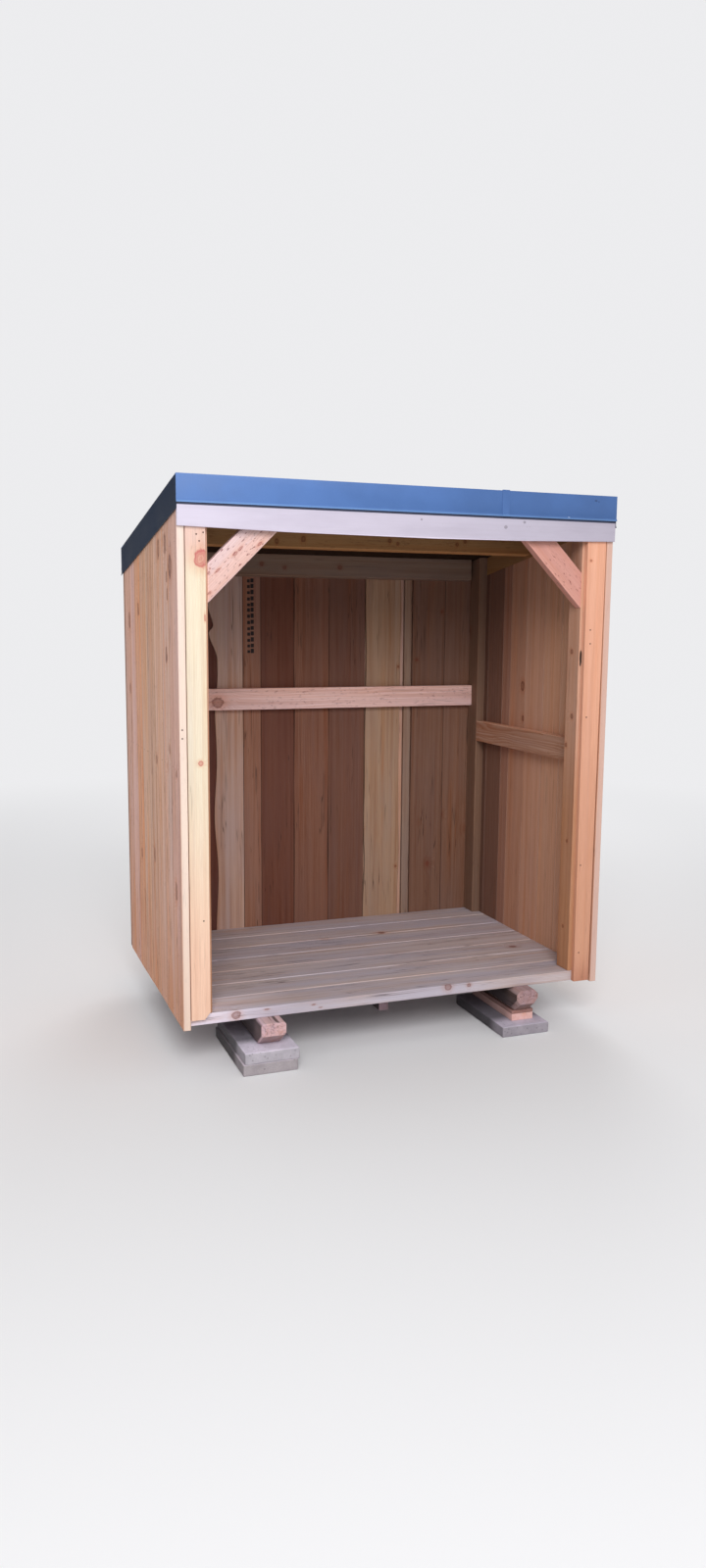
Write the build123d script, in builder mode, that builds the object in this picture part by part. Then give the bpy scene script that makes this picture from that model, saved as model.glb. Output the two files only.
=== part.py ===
"""Open-fronted log store: boarded walls, plank deck, timber skids on flat blocks, single-slope roof.

The origin is on the ground, at the centre of the footprint. +X runs to the right seen from the open
front, +Y runs from the front to the back and +Z points up. Lengths are in millimetres.
"""

import os
from math import radians, tan

from build123d import *

# Overall sizes
width = 1605.0  # over the outer faces of the side walls
depth = 1046.0  # from the front edge of the side walls to the back of the back wall
roof_height = 1980.0  # top of the roof's front edge above the ground
roof_pitch = 8.7  # fall of the roof towards the back, in degrees

# Sawn timber
wall_thickness = 25.0
stud_thickness = 38.0
stud_width = 89.0
deck_thickness = 38.0
facing_thickness = 19.0

# Feet
block_length = 397.0
block_width = 194.0
block_height = 40.0
block_edge = 3.0
left_block_inset = 193.0  # outer face of the wall to the near side of the upper block
right_block_inset = 226.0
left_block_reach = 67.0  # how far the blocks stand out past the walls, front and back
right_block_reach = 42.0
lower_block_shift = 6.0  # the lower left blocks lie this much nearer the side
packer_width = 89.0
packer_length = 330.0
packer_setback = 10.0  # end of the packer behind the face of the wall
packer_shift = 4.0  # outer side of the packer past the outer side of the skid

# Skids and the joist under the middle of the deck
skid_size = 89.0
left_skid_inset = 256.0
right_skid_inset = 270.0
left_skid_reach = 47.0
right_skid_reach = 32.0
left_nose_rise = 43.0  # height of the bevel under each end of a skid
right_nose_rise = 35.0
nose_setback = 10.0  # inner end of the bevel behind the face of the wall
left_skid_edge = 7.0
right_skid_edge = 16.0
joist_centre = -6.0
joist_depth = 89.0
joist_setback = 178.0

# Deck
deck_board_count = 7
deck_gap = 4.0

# Front corners
left_post_width = 78.0
right_post_width = 89.0
front_post_depth = 82.0
facing_gap = 4.0  # open joint between a facing and the wall beside it
left_facing_width = 64.0
right_facing_top_width = 76.0
right_facing_foot_width = 62.0
left_facing_foot = 193.0
right_facing_foot = 169.0
facing_corner_width = 20.0  # broken lower corner of the left facing
facing_corner_height = 25.0

# Walls and rails
side_wall_foot = 160.0
rake_board_width = 75.0  # board along the slope at the top of a side wall, flush with the upright boards
side_rail_height = 1000.0
back_rail_height = 1157.0
top_rail_gap = 14.0  # open joint between the top rail at the back and the stud beside it

# Roof timbers and the braces under the front header
sheathing_thickness = 12.0
purlin_centre = 54.0
purlin_depth = 64.0
brace_drop = 275.0  # underside of the header to the lowest corner of a brace
fascia_thickness = 12.0
fascia_drop = 160.0  # top of the roof's front edge to the lower edge of the fascia
fascia_sag = 12.0  # dip of the lower edge at mid-span
rear_fascia_thickness = 25.0
rear_fascia_height = 89.0

# Roof sheet and its folded trim
sheet_thickness = 2.0
rib_height = 9.0
rib_base = 52.0
rib_top = 22.0
rib_count = 8
rib_edge = 32.0  # side of the sheet to the middle of the first rib
trim_thickness = 2.0
trim_flange = 60.0
front_trim_height = 88.0
rake_trim_height = 110.0
rake_flange = 50.0
hem_height = 8.0
hem_thickness = 2.0
trim_joint = 366.0  # middle of the store to the end of the left length of front trim
trim_lap = 25.0

# Lines that the pieces share
left = -width / 2
right = width / 2
front = -depth / 2
back = depth / 2
left_inside = left + wall_thickness
right_inside = right - wall_thickness
back_inside = back - wall_thickness
frame_front = front + facing_thickness
skid_foot = 2 * block_height
deck_underside = skid_foot + skid_size
deck_top = deck_underside + deck_thickness
left_post_face = left_inside + left_post_width
right_post_face = right_inside - right_post_width
front_post_back = frame_front + front_post_depth
rear_stud_front = back_inside - stud_width
left_frame = left_inside + stud_thickness
right_frame = right_inside - stud_thickness
fascia_front = front - fascia_thickness
fascia_foot = roof_height - fascia_drop
trim_front = fascia_front - trim_thickness
rear_fascia_back = back + rear_fascia_thickness
trim_back = rear_fascia_back + trim_thickness
roof_fall = tan(radians(roof_pitch))


def roof_line(y):
    """Height of the top of the folded trim at a distance y along the slope's plan."""
    return roof_height - roof_fall * (y - trim_front)


def sheet_foot(y):
    """Underside of the roof sheet, which is the top of the sheathing."""
    return roof_line(y) - trim_thickness - rib_height - sheet_thickness


def sheathing_foot(y):
    """Underside of the sheathing, where the walls, posts and roof timbers end."""
    return sheet_foot(y) - sheathing_thickness


def rake_board_foot(y):
    """Joint between a side wall's upright boards and the board along the slope above them."""
    return sheathing_foot(y) - rake_board_width


header_back = frame_front + stud_thickness
header_foot = sheathing_foot(header_back) - stud_width


def box(x_low, x_high, y_low, y_high, z_low, z_high):
    """A square-sawn piece between two corners."""
    with BuildPart() as piece:
        with BuildSketch(Plane.XY.offset(z_low)):
            with Locations(((x_low + x_high) / 2, (y_low + y_high) / 2)):
                Rectangle(x_high - x_low, y_high - y_low)
        extrude(amount=z_high - z_low)
    return piece


def side_profile(points, x_low, x_high):
    """A piece whose outline is drawn on the side view, as (y, z) points."""
    with BuildPart() as piece:
        with BuildSketch(Plane.YZ.offset(x_low)):
            with BuildLine():
                Polyline(*points, close=True)
            make_face()
        extrude(amount=x_high - x_low)
    return piece


def front_profile(points, y_low, y_high):
    """A piece whose outline is drawn on the front view, as (x, z) points."""
    with BuildPart() as piece:
        with BuildSketch(Plane.XZ.offset(-y_high)):
            with BuildLine():
                Polyline(*points, close=True)
            make_face()
        extrude(amount=y_high - y_low)
    return piece


def under_roof(x_low, x_high, y_low, y_high, top, foot):
    """A piece that follows the roof's slope between two lines, given as functions of y."""
    points = [(y_low, foot(y_low)), (y_high, foot(y_high)), (y_high, top(y_high)), (y_low, top(y_low))]
    return side_profile(points, x_low, x_high)


def save(piece, label):
    """Name a finished piece and write its file."""
    piece.part.label = label
    export_step(piece.part, f"parts/{label}.step")


os.makedirs("parts", exist_ok=True)


# Blocks: two on each other under the left skid, one and a packer under the right skid
def block(x_low, y_low, z_low):
    with BuildPart() as piece:
        with BuildSketch(Plane.XY.offset(z_low)):
            with Locations((x_low + block_width / 2, y_low + block_length / 2)):
                Rectangle(block_width, block_length)
        extrude(amount=block_height)
        chamfer(piece.edges(), block_edge)
    return piece


left_block_x = left + left_block_inset
right_block_x = right - right_block_inset - block_width
left_block_rows = {"front": front - left_block_reach, "rear": back + left_block_reach - block_length}
right_block_rows = {"front": front - right_block_reach, "rear": back + right_block_reach - block_length}
for end, y_low in left_block_rows.items():
    save(block(left_block_x - lower_block_shift, y_low, 0), f"{end}_left_lower_block")
    save(block(left_block_x, y_low, block_height), f"{end}_left_upper_block")
for end, y_low in right_block_rows.items():
    save(block(right_block_x, y_low, 0), f"{end}_right_block")

right_skid_x = right - right_skid_inset - skid_size
packer_x = right_skid_x + packer_shift
packer_rows = {"front": front + packer_setback, "rear": back - packer_setback - packer_length}
for end, y_low in packer_rows.items():
    packer = box(packer_x, packer_x + packer_width, y_low, y_low + packer_length, block_height, skid_foot)
    save(packer, f"{end}_right_packer")


# Skids: square timbers with eased long edges and a bevelled nose at each end
def skid(x_low, reach, nose_rise, edge):
    y_low = front - reach
    y_high = back + reach
    nose = skid_foot + nose_rise
    points = [
        (front + nose_setback, skid_foot),
        (back - nose_setback, skid_foot),
        (y_high, nose),
        (y_high, deck_underside),
        (y_low, deck_underside),
        (y_low, nose),
    ]
    with BuildPart() as piece:
        with BuildSketch(Plane.YZ.offset(x_low)):
            with BuildLine():
                Polyline(*points, close=True)
            make_face()
        extrude(amount=skid_size)
        long_edges = piece.edges().filter_by(Axis.X, reverse=True).filter_by(Axis.Z, reverse=True)
        chamfer(long_edges, edge)
    return piece


save(skid(left + left_skid_inset, left_skid_reach, left_nose_rise, left_skid_edge), "left_skid")
save(skid(right_skid_x, right_skid_reach, right_nose_rise, right_skid_edge), "right_skid")

joist = box(
    joist_centre - stud_thickness / 2,
    joist_centre + stud_thickness / 2,
    front + joist_setback,
    back - joist_setback,
    deck_underside - joist_depth,
    deck_underside,
)
save(joist, "middle_joist")

# Deck: boards laid across the skids, the first one in view along the open front
deck_run = back_inside - frame_front
deck_board = (deck_run - (deck_board_count - 1) * deck_gap) / deck_board_count
deck_pitch = deck_board + deck_gap
save(
    box(left_inside, right_inside, frame_front, frame_front + deck_board, deck_underside, deck_top),
    "front_deck_board",
)

with BuildPart() as deck_boards:
    with BuildSketch(Plane.XY.offset(deck_underside)):
        for index in range(1, deck_board_count):
            with Locations((0, frame_front + index * deck_pitch + deck_board / 2)):
                Rectangle(right_inside - left_inside, deck_board)
    extrude(amount=deck_thickness)
save(deck_boards, "deck_boards")


# Walls: the side walls lap the deck and end against the back wall, which reaches the sheathing
def side_foot(y):
    return side_wall_foot


def back_foot(y):
    return deck_underside


side_walls = {"left": (left, left_inside), "right": (right_inside, right)}
for side, (x_low, x_high) in side_walls.items():
    save(under_roof(x_low, x_high, front, back_inside, rake_board_foot, side_foot), f"{side}_wall")
    save(under_roof(x_low, x_high, front, back_inside, sheathing_foot, rake_board_foot), f"{side}_rake_board")
save(under_roof(left, right, back_inside, back, sheathing_foot, back_foot), "back_wall")


# Corner posts: the front pair carries the header, the rear pair reaches the sheathing
front_posts = {
    "front_left_post": (left_inside, left_post_face),
    "front_right_post": (right_post_face, right_inside),
}
for label, (x_low, x_high) in front_posts.items():
    save(box(x_low, x_high, frame_front, front_post_back, deck_top, header_foot), label)


def deck_level(y):
    return deck_top


rear_posts = {"rear_left_stud": (left_inside, left_frame), "rear_right_stud": (right_frame, right_inside)}
for label, (x_low, x_high) in rear_posts.items():
    save(under_roof(x_low, x_high, rear_stud_front, back_inside, sheathing_foot, deck_level), label)

# Facings on the front posts: the left one has a broken corner, the right one tapers
facing_top = sheathing_foot(frame_front)
left_facing_x = left_inside + facing_gap
left_facing_end = left_facing_x + left_facing_width
left_facing = front_profile(
    [
        (left_facing_x, left_facing_foot),
        (left_facing_end - facing_corner_width, left_facing_foot),
        (left_facing_end, left_facing_foot + facing_corner_height),
        (left_facing_end, facing_top),
        (left_facing_x, facing_top),
    ],
    front,
    frame_front,
)
save(left_facing, "left_front_facing")

right_facing_end = right_inside - facing_gap
facing_lean = (right_facing_top_width - right_facing_foot_width) / 2
right_facing = front_profile(
    [
        (right_facing_end - facing_lean - right_facing_foot_width, right_facing_foot),
        (right_facing_end - facing_lean, right_facing_foot),
        (right_facing_end, facing_top),
        (right_facing_end - right_facing_top_width, facing_top),
    ],
    front,
    frame_front,
)
save(right_facing, "right_front_facing")

# Rails between the posts, flat against the boards
side_rails = {"left_side_rail": (left_inside, left_frame), "right_side_rail": (right_frame, right_inside)}
for label, (x_low, x_high) in side_rails.items():
    rail = box(
        x_low, x_high, front_post_back, rear_stud_front, side_rail_height, side_rail_height + stud_width
    )
    save(rail, label)

rail_front = back_inside - stud_thickness
back_rail = box(
    left_frame, right_frame, rail_front, back_inside, back_rail_height, back_rail_height + stud_width
)
save(back_rail, "back_middle_rail")


def top_rail_foot(y):
    return sheathing_foot(y) - stud_width


top_rail_left = left_frame + top_rail_gap
top_rail_right = right_frame - top_rail_gap
save(
    under_roof(top_rail_left, top_rail_right, rail_front, back_inside, sheathing_foot, top_rail_foot),
    "back_top_rail",
)

# Roof timbers: the header on the front posts, and one purlin between the boards along the slope
header_points = [
    (frame_front, header_foot),
    (header_back, header_foot),
    (header_back, sheathing_foot(header_back)),
    (frame_front, sheathing_foot(frame_front)),
]
save(side_profile(header_points, left_inside, right_inside), "front_header")


def purlin_foot(y):
    return sheathing_foot(y) - purlin_depth


purlin_front = purlin_centre - stud_thickness / 2
purlin_back = purlin_front + stud_thickness
save(
    under_roof(left_inside, right_inside, purlin_front, purlin_back, sheathing_foot, purlin_foot),
    "middle_purlin",
)


# Knee braces: 45 degrees between the post and the header, flush with the front of the post
def knee_brace(post_face, toward):
    seat = stud_width * 2**0.5
    low = header_foot - brace_drop
    points = [
        (post_face, low),
        (post_face, low + seat),
        (post_face + toward * (brace_drop - seat), header_foot),
        (post_face + toward * brace_drop, header_foot),
    ]
    return front_profile(points, frame_front, frame_front + stud_thickness)


save(knee_brace(left_post_face, 1), "left_knee_brace")
save(knee_brace(right_post_face, -1), "right_knee_brace")

# Roof deck and the boards that close its front and back edges
save(under_roof(left, right, front, back, sheet_foot, sheathing_foot), "roof_sheathing")


def rear_fascia_foot(y):
    return sheet_foot(y) - rear_fascia_height


with BuildPart() as front_fascia:
    with BuildSketch(Plane.XZ.offset(-front)):
        with BuildLine():
            ThreePointArc((left, fascia_foot), (0, fascia_foot - fascia_sag), (right, fascia_foot))
            Polyline((right, fascia_foot), (right, sheet_foot(front)), (left, sheet_foot(front)))
            Line((left, sheet_foot(front)), (left, fascia_foot))
        make_face()
    extrude(amount=fascia_thickness)
save(front_fascia, "front_fascia")
save(under_roof(left, right, back, rear_fascia_back, sheet_foot, rear_fascia_foot), "rear_fascia")

# Roof sheet: one folded profile with ribs, run down the slope with plumb ends
rib_pitch = (width - 2 * rib_edge) / (rib_count - 1)
slope_run = Vector(0, rear_fascia_back - fascia_front, sheet_foot(rear_fascia_back) - sheet_foot(fascia_front))


def sheet_outline(base, thickness):
    """Points of one face of the ribbed sheet, from the left side to the right side."""
    points = [(left, base)]
    half_base = rib_base / 2 + thickness / 2
    half_top = rib_top / 2 + thickness / 2
    for index in range(rib_count):
        middle = left + rib_edge + index * rib_pitch
        points += [
            (middle - half_base, base),
            (middle - half_top, base + rib_height),
            (middle + half_top, base + rib_height),
            (middle + half_base, base),
        ]
    return points + [(right, base)]


sheet_base = sheet_foot(fascia_front)
upper_face = sheet_outline(sheet_base + sheet_thickness, sheet_thickness)
lower_face = sheet_outline(sheet_base, 0)
with BuildPart() as roof_sheet:
    with BuildSketch(Plane.XZ.offset(-fascia_front)):
        with BuildLine():
            Polyline(*(upper_face + lower_face[::-1]), close=True)
        make_face()
    extrude(amount=slope_run.length, dir=slope_run.normalized())
save(roof_sheet, "roof_sheet")


# Folded trim: a face down the front, a flange over the ribs and a hem along the lower edge
def eave_section(face, inside):
    """Section of an eave trim: face is its outer plane and inside points towards the roof."""
    foot = roof_line(face) - front_trim_height
    back_of_face = face + inside * trim_thickness
    hem = face - inside * hem_thickness
    flange = face + inside * trim_flange
    return [
        (back_of_face, foot),
        (hem, foot),
        (hem, foot + hem_height),
        (face, foot + hem_height),
        (face, roof_line(face)),
        (flange, roof_line(flange)),
        (flange, roof_line(flange) - trim_thickness),
        (back_of_face, roof_line(back_of_face) - trim_thickness),
    ]


trim_left = left - trim_thickness
trim_right = right + trim_thickness
lap_start = trim_joint - trim_lap
front_section = eave_section(trim_front, 1)
front_trim_foot = roof_line(trim_front) - front_trim_height
lap_face = trim_front - trim_thickness
lap_hem = lap_face - hem_thickness
lap_flange = trim_front + trim_flange
lap_section = [
    (trim_front, front_trim_foot + hem_height),
    (lap_face, front_trim_foot + hem_height),
    (lap_face, front_trim_foot),
    (lap_hem, front_trim_foot),
    (lap_hem, front_trim_foot + hem_height + hem_thickness),
    (lap_face, front_trim_foot + hem_height + hem_thickness),
    (lap_face, roof_line(lap_face) + trim_thickness),
    (lap_flange, roof_line(lap_flange) + trim_thickness),
    (lap_flange, roof_line(lap_flange)),
    (trim_front, roof_line(trim_front)),
]
with BuildPart() as front_trim_left:
    with BuildSketch(Plane.YZ.offset(trim_left)):
        with BuildLine():
            Polyline(*front_section, close=True)
        make_face()
    extrude(amount=lap_start - trim_left)
    with BuildSketch(Plane.YZ.offset(lap_start - trim_thickness)):
        with BuildLine():
            Polyline(*lap_section, close=True)
        make_face()
    extrude(amount=trim_lap + trim_thickness)
save(front_trim_left, "front_trim_left")
save(side_profile(front_section, lap_start, trim_right), "front_trim_right")
save(side_profile(eave_section(trim_back, -1), trim_left, trim_right), "rear_trim")


def rake_trim(x_outer, toward):
    """Trim down one sloping side: a face against the wall and a flange over the outer rib."""
    x_wall = x_outer + toward * trim_thickness
    x_flange = x_outer + toward * rake_flange
    flange_front = trim_front + trim_flange
    flange_back = trim_back - trim_flange
    face_points = [
        (fascia_front, roof_line(fascia_front) - rake_trim_height),
        (rear_fascia_back, roof_line(rear_fascia_back) - rake_trim_height),
        (rear_fascia_back, roof_line(rear_fascia_back) - trim_thickness),
        (fascia_front, roof_line(fascia_front) - trim_thickness),
    ]
    flange_points = [
        (flange_front, roof_line(flange_front) - trim_thickness),
        (flange_back, roof_line(flange_back) - trim_thickness),
        (flange_back, roof_line(flange_back)),
        (flange_front, roof_line(flange_front)),
    ]
    with BuildPart() as piece:
        with BuildSketch(Plane.YZ.offset(min(x_outer, x_wall))):
            with BuildLine():
                Polyline(*face_points, close=True)
            make_face()
        extrude(amount=trim_thickness)
        with BuildSketch(Plane.YZ.offset(min(x_outer, x_flange))):
            with BuildLine():
                Polyline(*flange_points, close=True)
            make_face()
        extrude(amount=rake_flange)
    return piece


save(rake_trim(trim_left, 1), "left_rake_trim")
save(rake_trim(trim_right, -1), "right_rake_trim")
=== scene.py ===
"""Finished look of the log store: eased timbers, boarded walls, metal roof, fixings and stage.

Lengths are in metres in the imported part's frame: origin on the ground under the centre of the
footprint, +X to the right seen from the open front, +Y towards the back, +Z up.
"""

import random
from dataclasses import dataclass
from math import cos, pi, radians, sin

import bmesh
import bpy
from bpy.props import FloatProperty, FloatVectorProperty, IntProperty, PointerProperty
from mathutils import Matrix, Vector, noise


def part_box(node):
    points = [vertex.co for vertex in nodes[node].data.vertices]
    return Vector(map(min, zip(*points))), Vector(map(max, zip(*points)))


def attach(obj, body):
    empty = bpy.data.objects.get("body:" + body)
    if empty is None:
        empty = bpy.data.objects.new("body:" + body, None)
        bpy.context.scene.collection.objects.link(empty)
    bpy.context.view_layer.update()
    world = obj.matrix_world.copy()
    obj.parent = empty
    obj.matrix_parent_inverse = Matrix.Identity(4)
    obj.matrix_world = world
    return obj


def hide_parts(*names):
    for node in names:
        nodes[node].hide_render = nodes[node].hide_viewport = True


bl_info = {
    "name": "Log Store",
    "version": (1, 0, 0),
    "blender": (4, 5, 0),
    "location": "3D View > Sidebar > Log Store",
    "description": "Builds the finished pieces of a boarded log store around its frame",
    "category": "Add Mesh",
}

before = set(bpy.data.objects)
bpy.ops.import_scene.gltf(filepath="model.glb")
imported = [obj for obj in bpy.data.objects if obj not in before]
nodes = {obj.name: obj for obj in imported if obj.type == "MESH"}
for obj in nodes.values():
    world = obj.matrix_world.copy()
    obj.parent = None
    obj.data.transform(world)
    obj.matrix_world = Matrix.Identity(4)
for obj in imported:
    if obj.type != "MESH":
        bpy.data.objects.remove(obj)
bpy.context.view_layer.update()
left_wall_low, left_wall_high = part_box("left_wall")
right_wall_low, right_wall_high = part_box("right_wall")
back_wall_low, back_wall_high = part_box("back_wall")
RIGHT = Vector((1.0, 0.0, 0.0))
BACK = Vector((0.0, 1.0, 0.0))
FORWARD = Vector((0.0, -1.0, 0.0))
UP = Vector((0.0, 0.0, 1.0))


def srgb(red, green, blue):
    """A display colour, 0 to 255, as Blender's linear colour."""
    return tuple((c / 255) ** 2.2 for c in (red, green, blue))


# Settings


def amount(name, description, default, unit="NONE"):
    return FloatProperty(name=name, description=description, default=default, min=0.0, unit=unit)


def length(name, description, default):
    return amount(name, description, default, "LENGTH")


def colour(name, description, red, green, blue):
    return FloatVectorProperty(
        name=name, description=description, default=srgb(red, green, blue), subtype="COLOR", min=0.0, max=1.0
    )


class LogStoreTimberSettings(bpy.types.PropertyGroup):
    """Sizes and colours of the timber"""

    edge_ease: length("Eased edge", "Rounding along the edges of the framing timbers", 0.003)
    board_ease: length("Board joint", "Rounding that makes the joint between two wall boards", 0.0015)
    back_board_width: length("Back board width", "Width of the boards on the outside of the back", 0.146)
    grain_spacing: length("Growth ring spacing", "Distance between two dark lines of the grain", 0.0042)
    nail_radius: length("Nail head radius", "Radius of the round nail heads", 0.0028)
    wall: colour("Side wall boards", "Colour of the outer face of the side walls", 233, 199, 181)
    wall_edge: colour("Left wall edge", "Colour of the sawn front edge of the left wall", 244, 225, 210)
    right_edge: colour("Right wall edge", "Colour of the sawn front edge of the right wall", 214, 179, 166)
    wall_inside: colour("Wall inside", "Colour of the side wall boards inside the bay", 212, 169, 145)
    back: colour("Back boards", "Colour of the boards at the back of the bay", 164, 140, 122)
    left_facing: colour("Left facing", "Colour of the left front facing", 236, 226, 202)
    left_facing_foot: colour("Left facing foot", "Colour of the left facing lower down", 241, 203, 180)
    right_facing: colour("Right facing", "Colour of the right front facing", 232, 175, 148)
    right_facing_foot: colour("Right facing foot", "Colour of the right facing lower down", 211, 156, 127)
    post: colour("Posts", "Colour of the corner posts", 207, 164, 141)
    rail: colour("Rails", "Colour of the rails between the posts", 245, 210, 206)
    brace: colour("Left knee brace", "Colour of the left knee brace", 228, 203, 204)
    right_brace: colour("Right knee brace", "Colour of the right knee brace", 212, 158, 146)
    # The sheathing's dark colour is partly its own and partly painted shade under the roof
    sheathing: colour("Sheathing", "Colour of the dark boards under the roof sheet", 48, 32, 19)
    roof_timber: colour("Roof timbers", "Colour of the header, rake boards and purlin", 161, 123, 83)
    deck: colour("Deck boards", "Colour of the weathered deck boards", 200, 191, 196)
    skid: colour("Skids", "Colour of the skids under the deck", 200, 172, 170)
    packer: colour("Packers", "Colour of the fresh packing pieces", 238, 200, 198)


class LogStoreShellSettings(bpy.types.PropertyGroup):
    """Sizes and colours of the roof covering and the blocks"""

    roof_blue: colour("Roof metal", "Colour of the painted front and rear trim", 78, 111, 168)
    # A darker copy of the roof's blue: painted shade on the trim's sloping sides
    rake_blue: colour("Rake trim", "Colour of the painted trim on the sloping sides", 48, 56, 72)
    fascia_paint: colour("Fascia paint", "Colour of the painted fascia", 205, 197, 214)
    concrete: colour("Concrete", "Colour of the flat blocks", 190, 183, 190)
    screw_radius: length("Screw head radius", "Radius of the hexagonal roof screws", 0.0046)
    screw_rows: IntProperty(
        name="Screw rows", description="Rows of screws down the slope of the roof", default=4, min=2
    )
    block_roughness: length("Block roughness", "Depth of the hollows in the faces of the blocks", 0.0012)


class LogStoreStageSettings(bpy.types.PropertyGroup):
    """Floor, lamps and camera"""

    backdrop: colour("Backdrop", "Colour of the floor and of what lies behind it", 236, 236, 238)
    world_strength: amount("Soft light", "Strength of the light from all round", 0.52)
    key_power: amount("Key lamp", "Power of the large lamp in front", 285.0, "POWER")
    fill_power: amount("Fill lamp", "Power of the lamp behind the store", 120.0, "POWER")


# Shader nodes

VECTOR_SOCKETS = ("Vector", "Centre")
BOARD_SHIFT = (31.0, 57.0, 73.0)  # how far a seed of 1 moves the pattern, in metres


def feed(tree, node, inputs):
    """Gives sockets, by name or number, a value or a link to another node's output."""
    for key, value in inputs.items():
        if isinstance(value, bpy.types.NodeSocket):
            tree.links.new(value, node.inputs[key])
        else:
            node.inputs[key].default_value = value
    return node


def put(tree, kind, inputs=None, **settings):
    node = tree.nodes.new("ShaderNode" + kind)
    for name, value in settings.items():
        setattr(node, name, value)
    return feed(tree, node, inputs or {})


def calc(tree, operation, first, second=0.0):
    return put(tree, "Math", {0: first, 1: second}, operation=operation).outputs[0]


def times(tree, first, second):
    return calc(tree, "MULTIPLY", first, second)


def plus(tree, first, second):
    return calc(tree, "ADD", first, second)


def minus(tree, first, second):
    return calc(tree, "SUBTRACT", first, second)


def vector_calc(tree, operation, first, second=(0.0, 0.0, 0.0)):
    outputs = put(tree, "VectorMath", {0: first, 1: second}, operation=operation).outputs
    return outputs["Value" if operation in ("DOT_PRODUCT", "LENGTH") else "Vector"]


def part_of(tree, vector, axis):
    return put(tree, "SeparateXYZ", {0: vector}).outputs[axis]


def normal_of(tree):
    return put(tree, "NewGeometry").outputs["Normal"]


def object_place(tree):
    return put(tree, "TexCoord").outputs["Object"]


def board_seed(tree):
    return put(tree, "Attribute", attribute_name="board_seed").outputs["Fac"]


def board_tint(tree):
    return put(tree, "Attribute", attribute_name="board_tint").outputs["Color"]


def step(tree, value, low, high, start=0.0, end=1.0):
    """A smooth change from start to end while value goes from low to high."""
    inputs = {0: value, 1: low, 2: high, 3: start, 4: end}
    return put(tree, "MapRange", inputs, interpolation_type="SMOOTHSTEP").outputs[0]


def blend(tree, share, first, second, mode="MIX"):
    inputs = {0: share, 6: first, 7: second}
    return put(tree, "Mix", inputs, data_type="RGBA", blend_type=mode).outputs[2]


def opaque(shade):
    return tuple(shade[:3]) + (1.0,)


def scaled_colour(base, *factors):
    """A colour times one factor, or times one for each of its parts."""
    return tuple(min(1.0, c * f) for c, f in zip(tuple(base)[:3], factors * 3)) + (1.0,)


def product(tree, first, second):
    return blend(tree, 1.0, first, second, "MULTIPLY")


def tinted(tree, shade, tint):
    return product(tree, shade, opaque(tint))


def stained(tree, share, shade, tint):
    """The colour, tinted where share says."""
    return blend(tree, share, shade, tinted(tree, shade, tint))


def dimmed(tree, shade, tone):
    """The colour times one value that changes over the surface."""
    return product(tree, shade, put(tree, "CombineColor", {0: tone, 1: tone, 2: tone}).outputs[0])


def stretched_noise(tree, vector, scale, detail=2.0, roughness=0.5):
    spread = put(tree, "Mapping", {"Vector": vector, "Scale": scale}).outputs[0]
    inputs = {"Vector": spread, "Scale": 1.0, "Detail": detail, "Roughness": roughness}
    return put(tree, "TexNoise", inputs).outputs["Fac"]


def patches(tree, vector, scale, low, high, detail=2.0, roughness=0.5):
    """Patches of stretched noise: 0 where it is below low, 1 where it is above high."""
    return step(tree, stretched_noise(tree, vector, scale, detail, roughness), low, high)


def shifted(tree, vector, seed):
    """The vector moved by an amount that the board's seed gives, so that no two boards look alike."""
    shift = put(tree, "VectorMath", {0: BOARD_SHIFT, "Scale": seed}, operation="SCALE").outputs[0]
    return vector_calc(tree, "ADD", vector, shift)


def new_group(name, inputs, outputs):
    """An empty node group with the named sockets, and its input and output sockets by name."""
    tree = bpy.data.node_groups.new(name, "ShaderNodeTree")
    for in_out, labels in (("INPUT", inputs), ("OUTPUT", outputs)):
        for label in labels.split():
            kind = "NodeSocketVector" if label in VECTOR_SOCKETS else "NodeSocketFloat"
            tree.interface.new_socket(name=label, in_out=in_out, socket_type=kind)
    return tree, tree.nodes.new("NodeGroupInput").outputs, tree.nodes.new("NodeGroupOutput")


def use_group(tree, name, inputs):
    """Places a group that was built before, and gives its outputs."""
    node = tree.nodes.new("ShaderNodeGroup")
    node.node_tree = bpy.data.node_groups[name]
    return feed(tree, node, inputs).outputs


def growth_rings(tree, place, spacing, low, high, drop):
    """Bands that darken slowly from low to high and end quickly after drop, as shares of the spacing."""
    saw = calc(tree, "FRACT", calc(tree, "DIVIDE", place, spacing))
    return times(tree, step(tree, saw, low, high), step(tree, saw, drop, 1.0, 1.0, 0.0))


def build_grain_group():
    """Growth rings, fibres and broad streaks of sawn timber whose grain runs along Z."""
    sockets = "Ring Fibre Streak Band Broad"
    tree, given, result = new_group("Wood grain", "Vector Seed Spacing Wave Lift", sockets)
    place = shifted(tree, given["Vector"], given["Seed"])
    across = vector_calc(tree, "DOT_PRODUCT", place, (0.82, 0.57, 0.0))
    broad = minus(tree, stretched_noise(tree, place, (6.5, 6.5, 1.3)), 0.5)
    small = minus(tree, stretched_noise(tree, place, (42.0, 42.0, 4.5)), 0.5)
    bend = times(tree, plus(tree, broad, times(tree, small, 0.10)), given["Wave"])
    ring_place = plus(tree, plus(tree, bend, across), given["Lift"])
    streak = stretched_noise(tree, place, (60.0, 60.0, 1.1), 3.0, 0.6)
    coarse = growth_rings(tree, ring_place, times(tree, given["Spacing"], 5.3), 0.1, 0.8, 0.86)
    values = {
        "Ring": growth_rings(tree, ring_place, given["Spacing"], 0.15, 0.85, 0.9),
        "Fibre": stretched_noise(tree, place, (900.0, 900.0, 16.0)),
        "Streak": streak,
        "Band": times(tree, coarse, step(tree, streak, 0.42, 0.62)),
        "Broad": stretched_noise(tree, place, (17.0, 17.0, 0.4), 3.0, 0.65),
    }
    feed(tree, result, values)


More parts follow.
